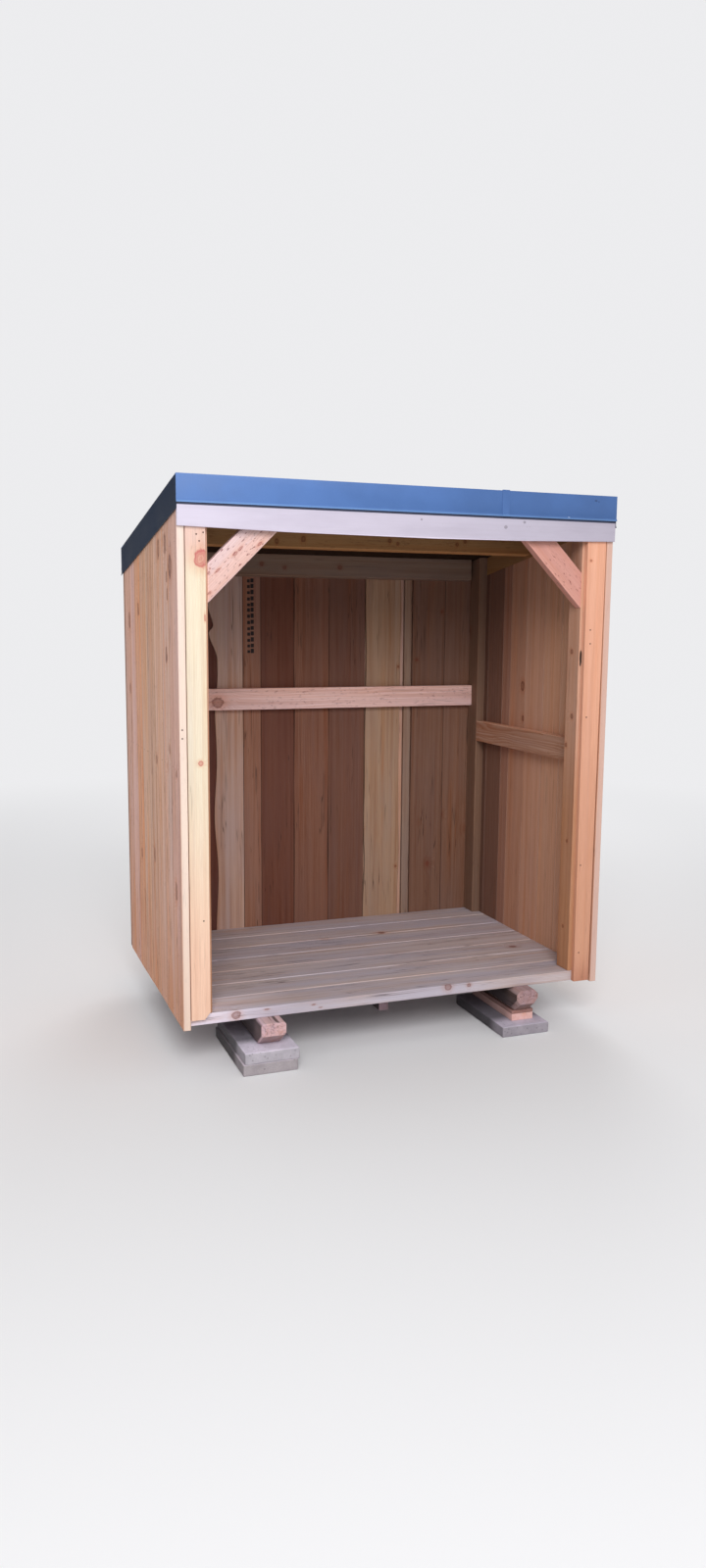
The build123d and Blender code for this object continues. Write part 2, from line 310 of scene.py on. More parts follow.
def ring_lift(tree, near, radius):
    """How far a knot pushes the growth rings aside; near is the distance in radii."""
    return times(tree, times(tree, step(tree, near, 0.0, 3.6, 1.0, 0.0), radius), 2.2)


def build_scattered_knot_group():
    """Knots at random places: their dark hearts, the warm wood round them and the bend of the rings."""
    tree, given, result = new_group("Scattered knots", "Vector Seed Size Share", "Core Halo Lift")
    cell = (0.12, 0.12, 0.40)
    place = shifted(tree, given["Vector"], given["Seed"])
    scaled = put(tree, "Mapping", {"Vector": place, "Scale": tuple(1 / c for c in cell)}).outputs[0]
    spots = put(tree, "TexVoronoi", {"Vector": scaled, "Scale": 1.0, "Randomness": 1.0}).outputs
    offset = vector_calc(tree, "SUBTRACT", scaled, spots["Position"])
    metres = vector_calc(tree, "MULTIPLY", offset, (cell[0], cell[1], cell[2] * 0.7))
    parts = put(tree, "SeparateColor", {0: spots["Color"]}).outputs
    kept = calc(tree, "LESS_THAN", parts[1], given["Share"])
    size = times(tree, given["Size"], step(tree, parts[0], 0.0, 1.0, 0.3, 1.0))
    radius = calc(tree, "MAXIMUM", times(tree, size, kept), 0.0002)
    near = calc(tree, "DIVIDE", vector_calc(tree, "LENGTH", metres), radius)
    values = {
        "Core": step(tree, near, 0.6, 1.05, 1.0, 0.0),
        "Halo": step(tree, near, 0.8, 2.6, 1.0, 0.0),
        "Lift": ring_lift(tree, near, radius),
    }
    feed(tree, result, values)


def build_placed_knot_group():
    """One knot at a chosen place, added to those that come before it."""
    sockets = "Vector Centre Radius Stretch Core Halo Lift"
    tree, given, result = new_group("Placed knot", sockets, "Core Halo Lift")
    offset = vector_calc(tree, "SUBTRACT", given["Vector"], given["Centre"])
    parts = put(tree, "SeparateXYZ", {0: offset}).outputs
    along = calc(tree, "DIVIDE", parts[2], given["Stretch"])
    squashed = put(tree, "CombineXYZ", {0: parts[0], 1: parts[1], 2: along}).outputs[0]
    distance = calc(tree, "DIVIDE", vector_calc(tree, "LENGTH", squashed), given["Radius"])
    ragged = minus(tree, stretched_noise(tree, given["Vector"], (90.0, 90.0, 60.0)), 0.5)
    near = plus(tree, distance, times(tree, ragged, 0.7))
    rings = times(tree, calc(tree, "SINE", times(tree, near, 17.0)), 0.12)
    heart = plus(tree, step(tree, near, 0.3, 0.85, 0.55, 0.95), rings)
    core = times(tree, step(tree, near, 0.8, 1.1, 1.0, 0.0), heart)
    values = {
        "Core": calc(tree, "MAXIMUM", core, given["Core"]),
        "Halo": calc(tree, "MAXIMUM", step(tree, near, 0.8, 2.4, 1.0, 0.0), given["Halo"]),
        "Lift": plus(tree, ring_lift(tree, near, given["Radius"]), given["Lift"]),
    }
    feed(tree, result, values)


def build_weather_group():
    """Where timber has greyed, where rain has run down it, and its cracks and rough saw marks."""
    tree, given, result = new_group("Weathering", "Vector Seed", "Grey Runs Checks Rough")
    place = shifted(tree, given["Vector"], given["Seed"])
    cracks = minus(tree, stretched_noise(tree, place, (48.0, 48.0, 1.5), 2.0, 0.6), 0.5)
    cracks = step(tree, calc(tree, "ABSOLUTE", cracks), 0.004, 0.016, 1.0, 0.0)
    cracked = patches(tree, place, (13.0, 13.0, 2.6), 0.46, 0.6)
    dashes = patches(tree, place, (150.0, 150.0, 48.0), 0.57, 0.66, 3.0, 0.6)
    sawn = patches(tree, place, (15.0, 15.0, 9.0), 0.40, 0.55)
    values = {
        "Grey": patches(tree, place, (9.0, 9.0, 1.6), 0.38, 0.68, 4.0, 0.6),
        "Runs": patches(tree, place, (85.0, 85.0, 2.2), 0.55, 0.75, 3.0, 0.6),
        "Checks": times(tree, cracks, cracked),
        "Rough": times(tree, dashes, sawn),
    }
    feed(tree, result, values)


def build_groups():
    build_grain_group()
    build_scattered_knot_group()
    build_placed_knot_group()
    build_weather_group()


# Timber material

GRAIN_TURNS = {
    "Z": (0.0, 0.0, 0.0),
    "X": (0.0, -pi / 2, 0.0),
    "Y": (pi / 2, 0.0, 0.0),
    "left brace": (0.0, -pi / 4, 0.0),
    "right brace": (0.0, pi / 4, 0.0),
}

# Tints and colours that all the timber shares
PALE_WOOD = (1.06, 1.05, 1.04)
DARK_STREAK = (0.88, 0.76, 0.68)
WARM_STREAK = (1.02, 0.80, 0.60)
COOL_STREAK = (0.90, 0.94, 1.06)
LATE_WOOD = (0.80, 0.62, 0.50)
FIBRE = (0.74, 0.68, 0.64)
SILVERED = (0.80, 0.84, 0.98)
RAIN_RUN = (0.78, 0.72, 0.70)
CRACK = (0.04, 0.02, 0.015)
SAW_MARK = (0.34, 0.19, 0.20)
KNOT_HALO = (0.90, 0.66, 0.54)
SLIT = (0.012, 0.006, 0.005)
JOINT = (0.06, 0.03, 0.02)


@dataclass
class Timber:
    """How one kind of timber looks."""

    name: str
    base: tuple
    grain: str = "Z"  # a key of GRAIN_TURNS
    wave: float = 0.05  # how far the growth rings wander, in metres
    contrast: float = 0.4
    grey: float = 0.3  # share of greyed and stained wood
    knots: tuple = ()  # (x, y, z, radius, stretch along the grain)
    knot_colour: tuple = srgb(112, 58, 44)
    knot_depth: float = 0.9  # how much of the knot's own colour shows
    slits: tuple = ()  # narrow dark gaps, given as the knots are
    knot_share: float = 0.3  # share of the places for random knots that hold one
    knot_size: float = 0.014
    front: tuple = None  # colour of the faces that look forward
    levels: tuple = ()  # (height, next height down, colour there) from the top down
    seam: float = 0.0  # darkness of the joints between boards that lie side by side
    seam_axis: int = 1  # axis across those boards
    seam_start: float = -10.0  # no joint is darkened before this y
    ring_scale: float = 1.0  # distance between growth rings against the usual one
    broad: float = 0.5  # strength of the broad streaks of warm and cool wood
    checks: float = 0.2  # darkness of the cracks along the grain
    rough: float = 0.0  # darkness of short saw marks
    end: tuple = (0.80, 0.72, 0.68)  # tint of the end grain
    # Painted shade: tint of what lies in the deck's shadow
    sheltered: float = 1.0  # tint of what lies under the deck
    # Painted shade: tint of the faces that look to the left
    left_side: float = 1.0  # tint of the faces that look to the left
    bump: float = 0.0006


def new_material(name):
    material = bpy.data.materials.new(name)
    material.use_nodes = True
    return material, material.node_tree, material.node_tree.nodes["Principled BSDF"]


def finish_surface(tree, shader, shade, roughness, strength, distance, height, specular=0.5):
    """Gives the shader its colour, its roughness and a relief of some strength and depth."""
    inputs = {"Strength": strength, "Distance": distance, "Height": height}
    bump = put(tree, "Bump", inputs).outputs[0]
    inputs = {"Base Color": shade, "Roughness": roughness, "Specular IOR Level": specular, "Normal": bump}
    feed(tree, shader, inputs)


def grain_turn(grain):
    """Rotation that brings the grain's direction to Z."""
    angles = GRAIN_TURNS[grain]
    return Matrix.Rotation(angles[0], 3, "X") @ Matrix.Rotation(angles[1], 3, "Y")


def placed_knot(tree, vector, centre, radius, stretch, marks=None):
    """A knot, chip or scuff at a chosen place, added to the marks that come before it."""
    inputs = {"Vector": vector, "Centre": centre, "Radius": radius, "Stretch": stretch}
    if marks is not None:
        inputs.update({key: marks[key] for key in ("Core", "Halo", "Lift")})
    return use_group(tree, "Placed knot", inputs)


def knot_marks(tree, timber, along, seed):
    """Dark hearts, warm surrounds and ring bends of the random and the placed knots."""
    inputs = {"Vector": along, "Seed": seed, "Size": timber.knot_size, "Share": timber.knot_share}
    marks = use_group(tree, "Scattered knots", inputs)
    turn = grain_turn(timber.grain)
    for x, y, z, radius, stretch in timber.knots:
        marks = placed_knot(tree, along, turn @ Vector((x, y, z)), radius, stretch, marks)
    return marks


def sheltered(tree, place, shade, tone):
    """Painted shade: darkens what lies between the front and the back of the deck, where the deck's shadow
    falls.
    """
    reach = calc(tree, "ABSOLUTE", part_of(tree, place, "Y"))
    edge = left_wall_high.y
    return dimmed(tree, shade, step(tree, reach, edge - 0.05, edge + 0.02, tone, 1.0))


def facing_away(tree, axis, high=-0.6, most=1.0):
    """A mask of the faces that look against an axis: forward for Y, to the left for X."""
    return step(tree, part_of(tree, normal_of(tree), axis), -0.9, high, most, 0.0)


def bare_wood(tree, timber, place, tint):
    """Colour of the clean wood: the board's own tint, sawn front edges and changes down its length."""
    body = product(tree, opaque(timber.base), tint)
    # Painted shade under the deck
    if timber.sheltered < 1.0:
        body = sheltered(tree, place, body, timber.sheltered)
    if timber.front:
        body = blend(tree, facing_away(tree, "Y"), body, opaque(timber.front))
    for start, end, level_colour in timber.levels:
        below = step(tree, part_of(tree, place, "Z"), end, start, 1.0, 0.0)
        body = blend(tree, below, body, opaque(level_colour))
    return body


def grained(tree, timber, body, wood):
    """Adds streaks, growth rings and fibres to the clean wood."""
    streaks = times(tree, step(tree, wood["Streak"], 0.32, 0.68), min(1.0, timber.contrast * 1.4))
    shade = blend(tree, streaks, tinted(tree, body, PALE_WOOD), tinted(tree, body, DARK_STREAK))
    warm = step(tree, wood["Broad"], 0.53, 0.68, 0.0, timber.broad)
    shade = stained(tree, warm, shade, WARM_STREAK)
    cool = step(tree, wood["Broad"], 0.32, 0.47, timber.broad, 0.0)
    shade = stained(tree, cool, shade, COOL_STREAK)
    rings = times(tree, calc(tree, "MAXIMUM", wood["Ring"], wood["Band"]), timber.contrast)
    shade = stained(tree, rings, shade, LATE_WOOD)
    return stained(tree, step(tree, wood["Fibre"], 0.35, 0.7, 0.0, 0.30), shade, FIBRE)


def clean_front(tree, timber, shade):
    """Lets the sawn front edge keep its own pale colour, and paints shade on what looks to the left."""
    if timber.front:
        shade = blend(tree, facing_away(tree, "Y", most=0.65), shade, opaque(timber.front))
    # Painted shade on the faces that look to the left
    if timber.left_side < 1.0:
        shade = stained(tree, facing_away(tree, "X"), shade, (timber.left_side,) * 3)
    return shade


def weathered(tree, timber, shade, tint, weather):
    """Adds greyed patches, rain marks, cracks and saw marks."""
    silver = product(tree, scaled_colour(timber.base, *SILVERED), tint)
    shade = blend(tree, times(tree, weather["Grey"], timber.grey), shade, silver)
    shade = stained(tree, times(tree, weather["Runs"], timber.grey), shade, RAIN_RUN)
    shade = blend(tree, times(tree, weather["Checks"], timber.checks), shade, opaque(CRACK))
    return stained(tree, times(tree, weather["Rough"], timber.rough), shade, SAW_MARK)


def knotted(tree, timber, shade, marks):
    """Adds the knots: a dark rim, a paler heart and warm wood round them."""
    shade = stained(tree, times(tree, marks["Halo"], 0.5), shade, KNOT_HALO)
    heart = blend(tree, 0.25, opaque(timber.knot_colour), shade)
    return blend(tree, times(tree, marks["Core"], timber.knot_depth), shade, heart)


def slitted(tree, timber, shade, along):
    """Adds narrow dark gaps in an edge."""
    turn = grain_turn(timber.grain)
    for x, y, z, radius, stretch in timber.slits:
        core = placed_knot(tree, along, turn @ Vector((x, y, z)), radius, stretch)["Core"]
        shade = blend(tree, step(tree, core, 0.1, 0.4), shade, opaque(SLIT))
    return shade


def darker_joints(tree, timber, shade, place):
    """Darkens end grain, and the eased edges where boards meet."""
    normal = normal_of(tree)
    across = vector_calc(tree, "DOT_PRODUCT", normal, grain_turn(timber.grain).inverted() @ UP)
    shade = stained(tree, step(tree, calc(tree, "ABSOLUTE", across), 0.80, 0.93), shade, timber.end)
    if timber.seam:
        tilt = calc(tree, "ABSOLUTE", part_of(tree, normal, timber.seam_axis))
        seam = times(tree, step(tree, tilt, 0.30, 0.55), step(tree, tilt, 0.80, 0.95, 1.0, 0.0))
        behind = calc(tree, "GREATER_THAN", part_of(tree, place, "Y"), timber.seam_start)
        seam = times(tree, times(tree, seam, behind), timber.seam)
        shade = blend(tree, seam, shade, opaque(JOINT))
    return shade


def timber_material(timber):
    """Sawn timber with growth rings, streaks, knots, weather and end grain."""
    material, tree, shader = new_material(timber.name)
    place = object_place(tree)
    along = put(tree, "Mapping", {"Vector": place, "Rotation": GRAIN_TURNS[timber.grain]}).outputs[0]
    seed, tint = board_seed(tree), board_tint(tree)
    marks = knot_marks(tree, timber, along, seed)
    spacing = bpy.context.scene.log_store_timber.grain_spacing * timber.ring_scale
    inputs = {"Vector": along, "Seed": seed, "Spacing": spacing, "Wave": timber.wave, "Lift": marks["Lift"]}
    wood = use_group(tree, "Wood grain", inputs)
    weather = use_group(tree, "Weathering", {"Vector": along, "Seed": seed})
    shade = grained(tree, timber, bare_wood(tree, timber, place, tint), wood)
    shade = clean_front(tree, timber, weathered(tree, timber, shade, tint, weather))
    shade = slitted(tree, timber, knotted(tree, timber, shade, marks), along)
    shade = darker_joints(tree, timber, shade, place)
    relief = plus(tree, times(tree, wood["Ring"], 0.5), times(tree, wood["Fibre"], 0.6))
    relief = minus(tree, relief, times(tree, marks["Core"], 0.6))
    roughness = step(tree, wood["Fibre"], 0.2, 0.8, 0.66, 0.86)
    finish_surface(tree, shader, shade, roughness, 0.5, timber.bump, relief, 0.25)
    return material


def sawn_timber(name, base, grain="Z", **look):
    """The material of one kind of timber; look holds what differs from Timber's defaults."""
    return timber_material(Timber(name, base, grain, **look))


# Other materials

SHADED_BAND = 0.008  # height of the painted shadow under a trim
LIT_EDGE = 0.004  # height of the pale lower edge of a fascia
# Colour of the painted shadow under the trims
TRIM_SHADOW_COLOUR = (0.014, 0.022, 0.06, 1.0)
FASCIA_SPECK = (0.20, 0.16, 0.15, 1.0)
FASCIA_CHIP = (0.13, 0.11, 0.12, 1.0)


def faded(tree, place, shade, near, far):
    """Painted light: changes the tone steadily from the left end of the store to the right end, where less
    light falls.
    """
    inputs = {0: part_of(tree, place, "X"), 1: left_wall_low.x, 2: right_wall_high.x, 3: near, 4: far}
    return dimmed(tree, shade, put(tree, "MapRange", inputs).outputs[0])


def painted_metal_material(
    name, base, marks=(), right_end_light=1.0, folded=True, shine=0.3, roughness=0.48, top=None
):
    """Smooth painted sheet with slight waves, dust and a few scuffs at (x, y, z, radius, colour).

    top is the colour of the faces that look up, where the other faces carry a painted shade. The tone also
    falls off to the right as painted light, and the trims' hems get a painted highlight.
    """
    material, tree, shader = new_material(name)
    place = object_place(tree)
    cloud = stretched_noise(tree, place, (5.0, 5.0, 5.0), 3.0, 0.6)
    dust = patches(tree, place, (160.0, 160.0, 90.0), 0.55, 0.8, 3.0, 0.7)
    shade = blend(tree, step(tree, cloud, 0.3, 0.7), scaled_colour(base, 0.92), scaled_colour(base, 1.06))
    shade = blend(tree, times(tree, dust, 0.25), shade, scaled_colour(base, 1.5, 1.4, 1.15))
    for x, y, z, radius, mark_colour in marks:
        scuff = placed_knot(tree, place, (x, y, z), radius, 0.5)["Core"]
        shade = blend(tree, times(tree, scuff, 0.8), shade, opaque(mark_colour))
    # Painted light: the tone falls off from the left end to the right end
    shade = faded(tree, place, shade, 2.0 - right_end_light, right_end_light)
    if top:
        upward = step(tree, part_of(tree, normal_of(tree), "Z"), 0.4, 0.8)
        shade = blend(tree, upward, shade, opaque(top))
    # Painted highlight on the trims' hems, carried in their board tint
    if folded:
        shade = product(tree, shade, board_tint(tree))
    uneven = step(tree, cloud, 0.25, 0.75, roughness - 0.06, roughness + 0.07)
    ripple = stretched_noise(tree, place, (9.0, 9.0, 4.0), 1.0)
    finish_surface(tree, shader, shade, uneven, 0.35, 0.0015, ripple, shine)
    return material


def fascia_material(name, base, marks, shaded_lines, feet):
    """Painted board: brush lines along X, faint grime and a few chips at (x, y, z, radius).

    shaded_lines are the heights of trim edges, and a painted shadow darkens the board just under each of them.
    feet are the heights of the boards' lower edges, which catch the light as a painted highlight.
    """
    material, tree, shader = new_material(name)
    place = object_place(tree)
    brush = stretched_noise(tree, place, (1.2, 260.0, 260.0))
    cloud = patches(tree, place, (3.0, 3.0, 14.0), 0.35, 0.75, 4.0, 0.65)
    shade = blend(tree, cloud, opaque(base), scaled_colour(base, 0.88, 0.87, 0.88))
    brushed = step(tree, brush, 0.4, 0.7, 0.0, 0.35)
    shade = blend(tree, brushed, shade, scaled_colour(base, 0.9, 0.89, 0.88))
    specks = patches(tree, place, (70.0, 70.0, 110.0), 0.74, 0.80, 2.0, 0.6)
    shade = blend(tree, times(tree, specks, 0.5), shade, FASCIA_SPECK)
    for x, y, z, radius in marks:
        chip = placed_knot(tree, place, (x, y, z), radius, 1.0)["Core"]
        shade = blend(tree, times(tree, chip, 0.7), shade, FASCIA_CHIP)
    # Painted light: the tone falls off from the left end to the right end
    shade = faded(tree, place, shade, 1.06, 0.74)
    height = part_of(tree, place, "Z")
    # Painted shadow: a dark band on the board just under each trim edge
    for line in shaded_lines:
        above = step(tree, height, line - SHADED_BAND, line - SHADED_BAND + 0.0015)
        trim_shadow = times(tree, above, calc(tree, "LESS_THAN", height, line + 0.01))
        shade = blend(tree, times(tree, trim_shadow, 0.96), shade, TRIM_SHADOW_COLOUR)
    for foot in feet:
        near_foot = calc(tree, "ABSOLUTE", minus(tree, height, foot + LIT_EDGE / 2))
        lit = step(tree, near_foot, LIT_EDGE / 2, LIT_EDGE / 2 + 0.001, 0.6, 0.0)
        shade = blend(tree, lit, shade, scaled_colour(base, 1.32, 1.30, 1.28))
    roughness = step(tree, brush, 0.2, 0.8, 0.48, 0.62)
    finish_surface(tree, shader, shade, roughness, 0.4, 0.0004, brush)
    return material


def concrete_material(name, base):
    """Cast concrete with fine aggregate and pits, painted shade on the left side, painted light on the top and
    painted shade in the middle under the deck.
    """
    material, tree, shader = new_material(name)
    place = object_place(tree)
    moved = shifted(tree, place, board_seed(tree))
    cloud = stretched_noise(tree, moved, (16.0, 16.0, 16.0), 5.0, 0.65)
    sand = stretched_noise(tree, moved, (420.0, 420.0, 420.0), 3.0, 0.7)
    spots = put(tree, "TexVoronoi", {"Vector": moved, "Scale": 75.0, "Randomness": 1.0}).outputs
    chosen = calc(tree, "GREATER_THAN", put(tree, "SeparateColor", {0: spots["Color"]}).outputs[0], 0.62)
    pits = times(tree, step(tree, spots["Distance"], 0.10, 0.22, 1.0, 0.0), chosen)
    shade = blend(tree, step(tree, cloud, 0.3, 0.7), scaled_colour(base, 1.06), scaled_colour(base, 0.80))
    shade = blend(tree, step(tree, sand, 0.35, 0.7, 0.0, 0.4), shade, scaled_colour(base, 0.62))
    shade = blend(tree, times(tree, pits, 0.7), shade, scaled_colour(base, 0.35))
    # Painted shade on the faces that look to the left
    shaded_left_side = facing_away(tree, "X", -0.5, 0.45)
    shade = blend(tree, shaded_left_side, shade, scaled_colour(base, 0.30, 0.30, 0.32))
    # Painted light on the faces that look up
    lit_top = step(tree, part_of(tree, normal_of(tree), "Z"), 0.5, 0.9)
    shade = stained(tree, lit_top, shade, (1.6, 1.6, 1.7))
    # Painted shade under the deck, then the block's own tint
    shade = product(tree, sheltered(tree, place, shade, 0.25), board_tint(tree))
    height = minus(tree, plus(tree, sand, cloud), times(tree, pits, 1.5))
    roughness = step(tree, sand, 0.2, 0.8, 0.82, 0.95)
    finish_surface(tree, shader, shade, roughness, 0.6, 0.0014, height)
    return material


def plain_metal_material(name, base, metallic, roughness):
    """Small fixings: metal with a slight change of tone from head to head."""
    material, tree, shader = new_material(name)
    cloud = stretched_noise(tree, object_place(tree), (40.0, 40.0, 40.0))
    inputs = {
        "Base Color": blend(tree, cloud, scaled_colour(base, 0.75), scaled_colour(base, 1.2)),
        "Roughness": step(tree, cloud, 0.2, 0.8, roughness - 0.08, roughness + 0.08),
        "Metallic": metallic,
    }
    feed(tree, shader, inputs)
    return material


# Mesh helpers


def name_seed(name):
    """A number from 0 to 1 that is always the same for one name."""
    return sum(name.encode()) * 0.1379 % 1.0


def mark_board(shape, verts, seed, tint=(1.0, 1.0, 1.0)):
    """Stores what the timber material reads for each board."""
    floats, colours = shape.verts.layers.float, shape.verts.layers.float_color
    seeds = floats.get("board_seed") or floats.new("board_seed")
    tints = colours.get("board_tint") or colours.new("board_tint")
    for vert in verts:
        vert[seeds] = seed
        vert[tints] = tuple(tint) + (1.0,)


def ease_edges(shape, edges, ease, segments=2):
    settings = {"offset_type": "OFFSET", "profile": 0.5, "affect": "EDGES", "clamp_overlap": True}
    bmesh.ops.bevel(shape, geom=edges, offset=ease, segments=segments, material=-1, **settings)


def sharp_edges(shape, angle=30.0):
    return [e for e in shape.edges if len(e.link_faces) == 2 and e.calc_face_angle() > radians(angle)]


def arris_verts(shape):
    """The vertices along the middle of rounded edges."""
    shape.normal_update()
    return [v for v in shape.verts if min(v.normal.angle(f.normal) for f in v.link_faces) > radians(17)]


def cut_plane(shape, point, normal):
    """Cuts every face along a plane and keeps both sides."""
    geometry = shape.verts[:] + shape.edges[:] + shape.faces[:]
    bmesh.ops.bisect_plane(shape, geom=geometry, plane_co=point, plane_no=normal)


def cut_across(shape, axis, spacing):
    """Divides every face at even distances along an axis, so that the piece can bend."""
    normal = (RIGHT, BACK, UP)[axis]
    low = min(v.co[axis] for v in shape.verts)
    high = max(v.co[axis] for v in shape.verts)
    count = max(1, round((high - low) / spacing))
    for index in range(1, count):
        cut_plane(shape, normal * (low + (high - low) * index / count), normal)


def roughen(shape, depth, size):
    """Moves every vertex a little along its normal."""
    shape.normal_update()
    for vert in shape.verts:
        vert.co += vert.normal * noise.noise(vert.co / size) * depth


def mesh_of(shape, name):
    """Turns a bmesh into a mesh and frees it."""
    mesh = bpy.data.meshes.new(name)
    shape.to_mesh(mesh)
    shape.free()
    return mesh


def add_object(name, data):
    item = bpy.data.objects.new(name, data)
    bpy.context.scene.collection.objects.link(item)
    return item


def finish_piece(shape, name, material, slot_name, *replaced):
    """Makes an object from a mesh, puts it on the body and hides the CAD nodes it stands for."""
    mesh = mesh_of(shape, name)
    mesh.materials.append(material)
    mesh.polygons.foreach_set("use_smooth", [True] * len(mesh.polygons))
    mesh.set_sharp_from_angle(angle=radians(20))
    piece = add_object(name, mesh)
    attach(piece, "root")
    if replaced:
        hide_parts(*replaced)


def copy_of_node(node):
    """The CAD node's mesh, merged and with its flat faces whole."""
    shape = bmesh.new()
    shape.from_mesh(nodes[node].data)
    bmesh.ops.remove_doubles(shape, verts=shape.verts, dist=0.00002)
    bmesh.ops.dissolve_limit(shape, angle_limit=radians(0.6), verts=shape.verts, edges=shape.edges)
    return shape


ROUGHNESS_SIZE = 0.11  # distance between two swellings of a timber's face
# Painted light: distance over which the left end of the front is made paler
LEFT_LIGHT_LENGTH = 0.4
FACING_EDGE = 0.01
FACING_WIDEN = 0.0016


def eased_timber(
    node, material, slot_name, ease, axis, rough=0.0005, spacing=0.16, painted_left_light=0.0, widen=0.0,
    edge_highlight=1.3, tint=(1.0, 1.0, 1.0), side=(UP, 1.0),
):
    """A timber of the frame with rounded edges and slightly uneven faces.

    bleach is a painted light that makes the left end of the store's front paler, and widen moves the edge
    beside the wall.
    arris is the tone of a painted highlight along the rounded edges, and side is a direction and the tone of
    the faces that look there: a painted highlight above 1, a painted shade below 1.
    """
    shape = copy_of_node(node)
    seed = name_seed(node)
    if widen:
        outer = (min if widen < 0.0 else max)(v.co.x for v in shape.verts)
        for vert in shape.verts:
            if abs(vert.co.x - outer) < FACING_EDGE:
                vert.co.x += widen
    ease_edges(shape, sharp_edges(shape), ease)
    mark_board(shape, shape.verts, seed, tint)
    # Painted highlight along the middle of the rounded edges
    mark_board(shape, arris_verts(shape), seed, [edge_highlight * part for part in tint])
    # Faces that look along the direction get the tone: a painted highlight above 1, a painted shade below 1
    direction, tone = side
    if tone != 1.0:
        facing = [v for v in shape.verts if v.normal.dot(direction) > 0.9]
        mark_board(shape, facing, seed, [tone * part for part in tint])
    cut_across(shape, axis, spacing)
    roughen(shape, rough, ROUGHNESS_SIZE)
    # Painted light: paler towards the left end of the store's front
    if painted_left_light:
        for vert in shape.verts:
            tone = 1.0 + painted_left_light * max(0.0, 1.0 - (vert.co.x - left_wall_low.x) / LEFT_LIGHT_LENGTH)
            mark_board(shape, [vert], seed, (tone,) * 3)
    finish_piece(shape, node + "_timber", material, slot_name, node)


def add_box(shape, low, high):
    """Adds a box between two corners, made from a unit cube."""
    verts = bmesh.ops.create_cube(shape, size=1.0)["verts"]
    bmesh.ops.scale(shape, vec=high - low, verts=verts)
    bmesh.ops.translate(shape, vec=(low + high) / 2, verts=verts)


def board(low, high, ease, axis, spacing=0.15):
    """One board as a mesh of its own, with its edges rounded and cuts across it."""
    shape = bmesh.new()
    add_box(shape, low, high)
    ease_edges(shape, shape.edges[:], ease, 1)
    cut_across(shape, axis, spacing)
    return shape


def add_shape(whole, part):
    """Adds a finished mesh to another one and frees it."""
    mesh = mesh_of(part, "part")
    whole.from_mesh(mesh)
    bpy.data.meshes.remove(mesh)


def add_board(whole, plank, name, tint=(1.0, 1.0, 1.0)):
    """Gives a board the seed of its name and a tint, and adds it to the others."""
    mark_board(plank, plank.verts, name_seed(name), tint)
    add_shape(whole, plank)


def roof_slope():
    """Rise of the roof per metre towards the back, read from the left wall's upper corners."""
    verts = nodes["left_wall"].data.vertices
    back_top = max(v.co.z for v in verts if v.co.y > left_wall_high.y - 0.001)
    return (back_top - left_wall_high.z) / (left_wall_high.y - left_wall_low.y)


ROOF_SLOPE = roof_slope()


def follow_roof(shape, low, high):
    """Moves the vertices at a wall's level top so that they lie on the roof's slope."""
    for vert in shape.verts:
        if vert.co.z > high.z - 0.01:
            vert.co.z += ROOF_SLOPE * (vert.co.y - low.y)


# Walls

FOOT_STEP = 0.004  # how far above the wall's foot a board may end
STRAIGHT_FRONT = 0.1  # boards bow less within this distance of the wall's front
WALL_BOW = 0.0008
SEAM_START = 0.01  # from a side wall's front to where its joints turn dark
LEFT_JOINTS = (0.0, 0.133, 0.264, 0.403, 0.540, 0.668, 0.790, 0.905)
LEFT_TINTS = (
    (0.96, 0.92, 0.98),
    (0.98, 1.02, 1.10),
    (1.04, 1.02, 0.98),
    (0.90, 0.86, 0.80),
    (1.00, 0.98, 0.90),
    (1.06, 0.86, 0.68),
    (1.06, 1.00, 1.06),
    (1.00, 0.94, 0.96),
)
RIGHT_JOINTS = (0.0, 0.142, 0.286, 0.420, 0.566, 0.700, 0.767, 0.902)
# Inside tints of the right wall's boards from front to back: paler at the front as painted light and much
# darker at the back as painted shade deeper in the bay
RIGHT_TINTS_AND_SHADE = (
    (1.08, 1.06, 1.02),
    (1.05, 1.04, 0.98),
    (1.02, 0.98, 0.92),
    (0.98, 0.94, 0.92),
    (0.84, 0.78, 0.76),
    (0.62, 0.55, 0.55),
    (0.35, 0.31, 0.31),
    (0.26, 0.23, 0.23),
)


def side_wall(name, node, joints, outer_tints, inner_tints, material):
    """Vertical boards side by side, each a little longer or shorter at its foot."""
    low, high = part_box(node)
    middle = (low.x + high.x) / 2
    bay_middle = (left_wall_low.x + right_wall_high.x) / 2
    ease = bpy.context.scene.log_store_timber.board_ease
    chance = random.Random(name)
    wall = bmesh.new()
    ends = [low.y + joint for joint in joints] + [high.y]
    for index, (near, far) in enumerate(zip(ends, ends[1:])):
        foot = low.z + chance.uniform(0.0, FOOT_STEP)
        plank = board(Vector((low.x, near, foot)), Vector((high.x, far, high.z)), ease, 2)
        follow_roof(plank, low, high)
        for vert in plank.verts:
            inside = min(1.0, (vert.co.y - low.y) / STRAIGHT_FRONT)
            vert.co.x += noise.noise(Vector((index * 7.3, vert.co.z * 1.7, 0.0))) * WALL_BOW * inside
        seed = name_seed(name + str(index))
        mark_board(plank, plank.verts, seed, inner_tints[index])
        outer = [v for v in plank.verts if (v.co.x - middle) * (middle - bay_middle) > 0.0]
        mark_board(plank, outer, seed, outer_tints[index])
        add_shape(wall, plank)
    finish_piece(wall, name, material, "wall_boards", node)


OUTER_BACK_TINT = (1.85, 1.75, 1.85)
LAYER_GAP = 0.0002  # between the two layers of the back
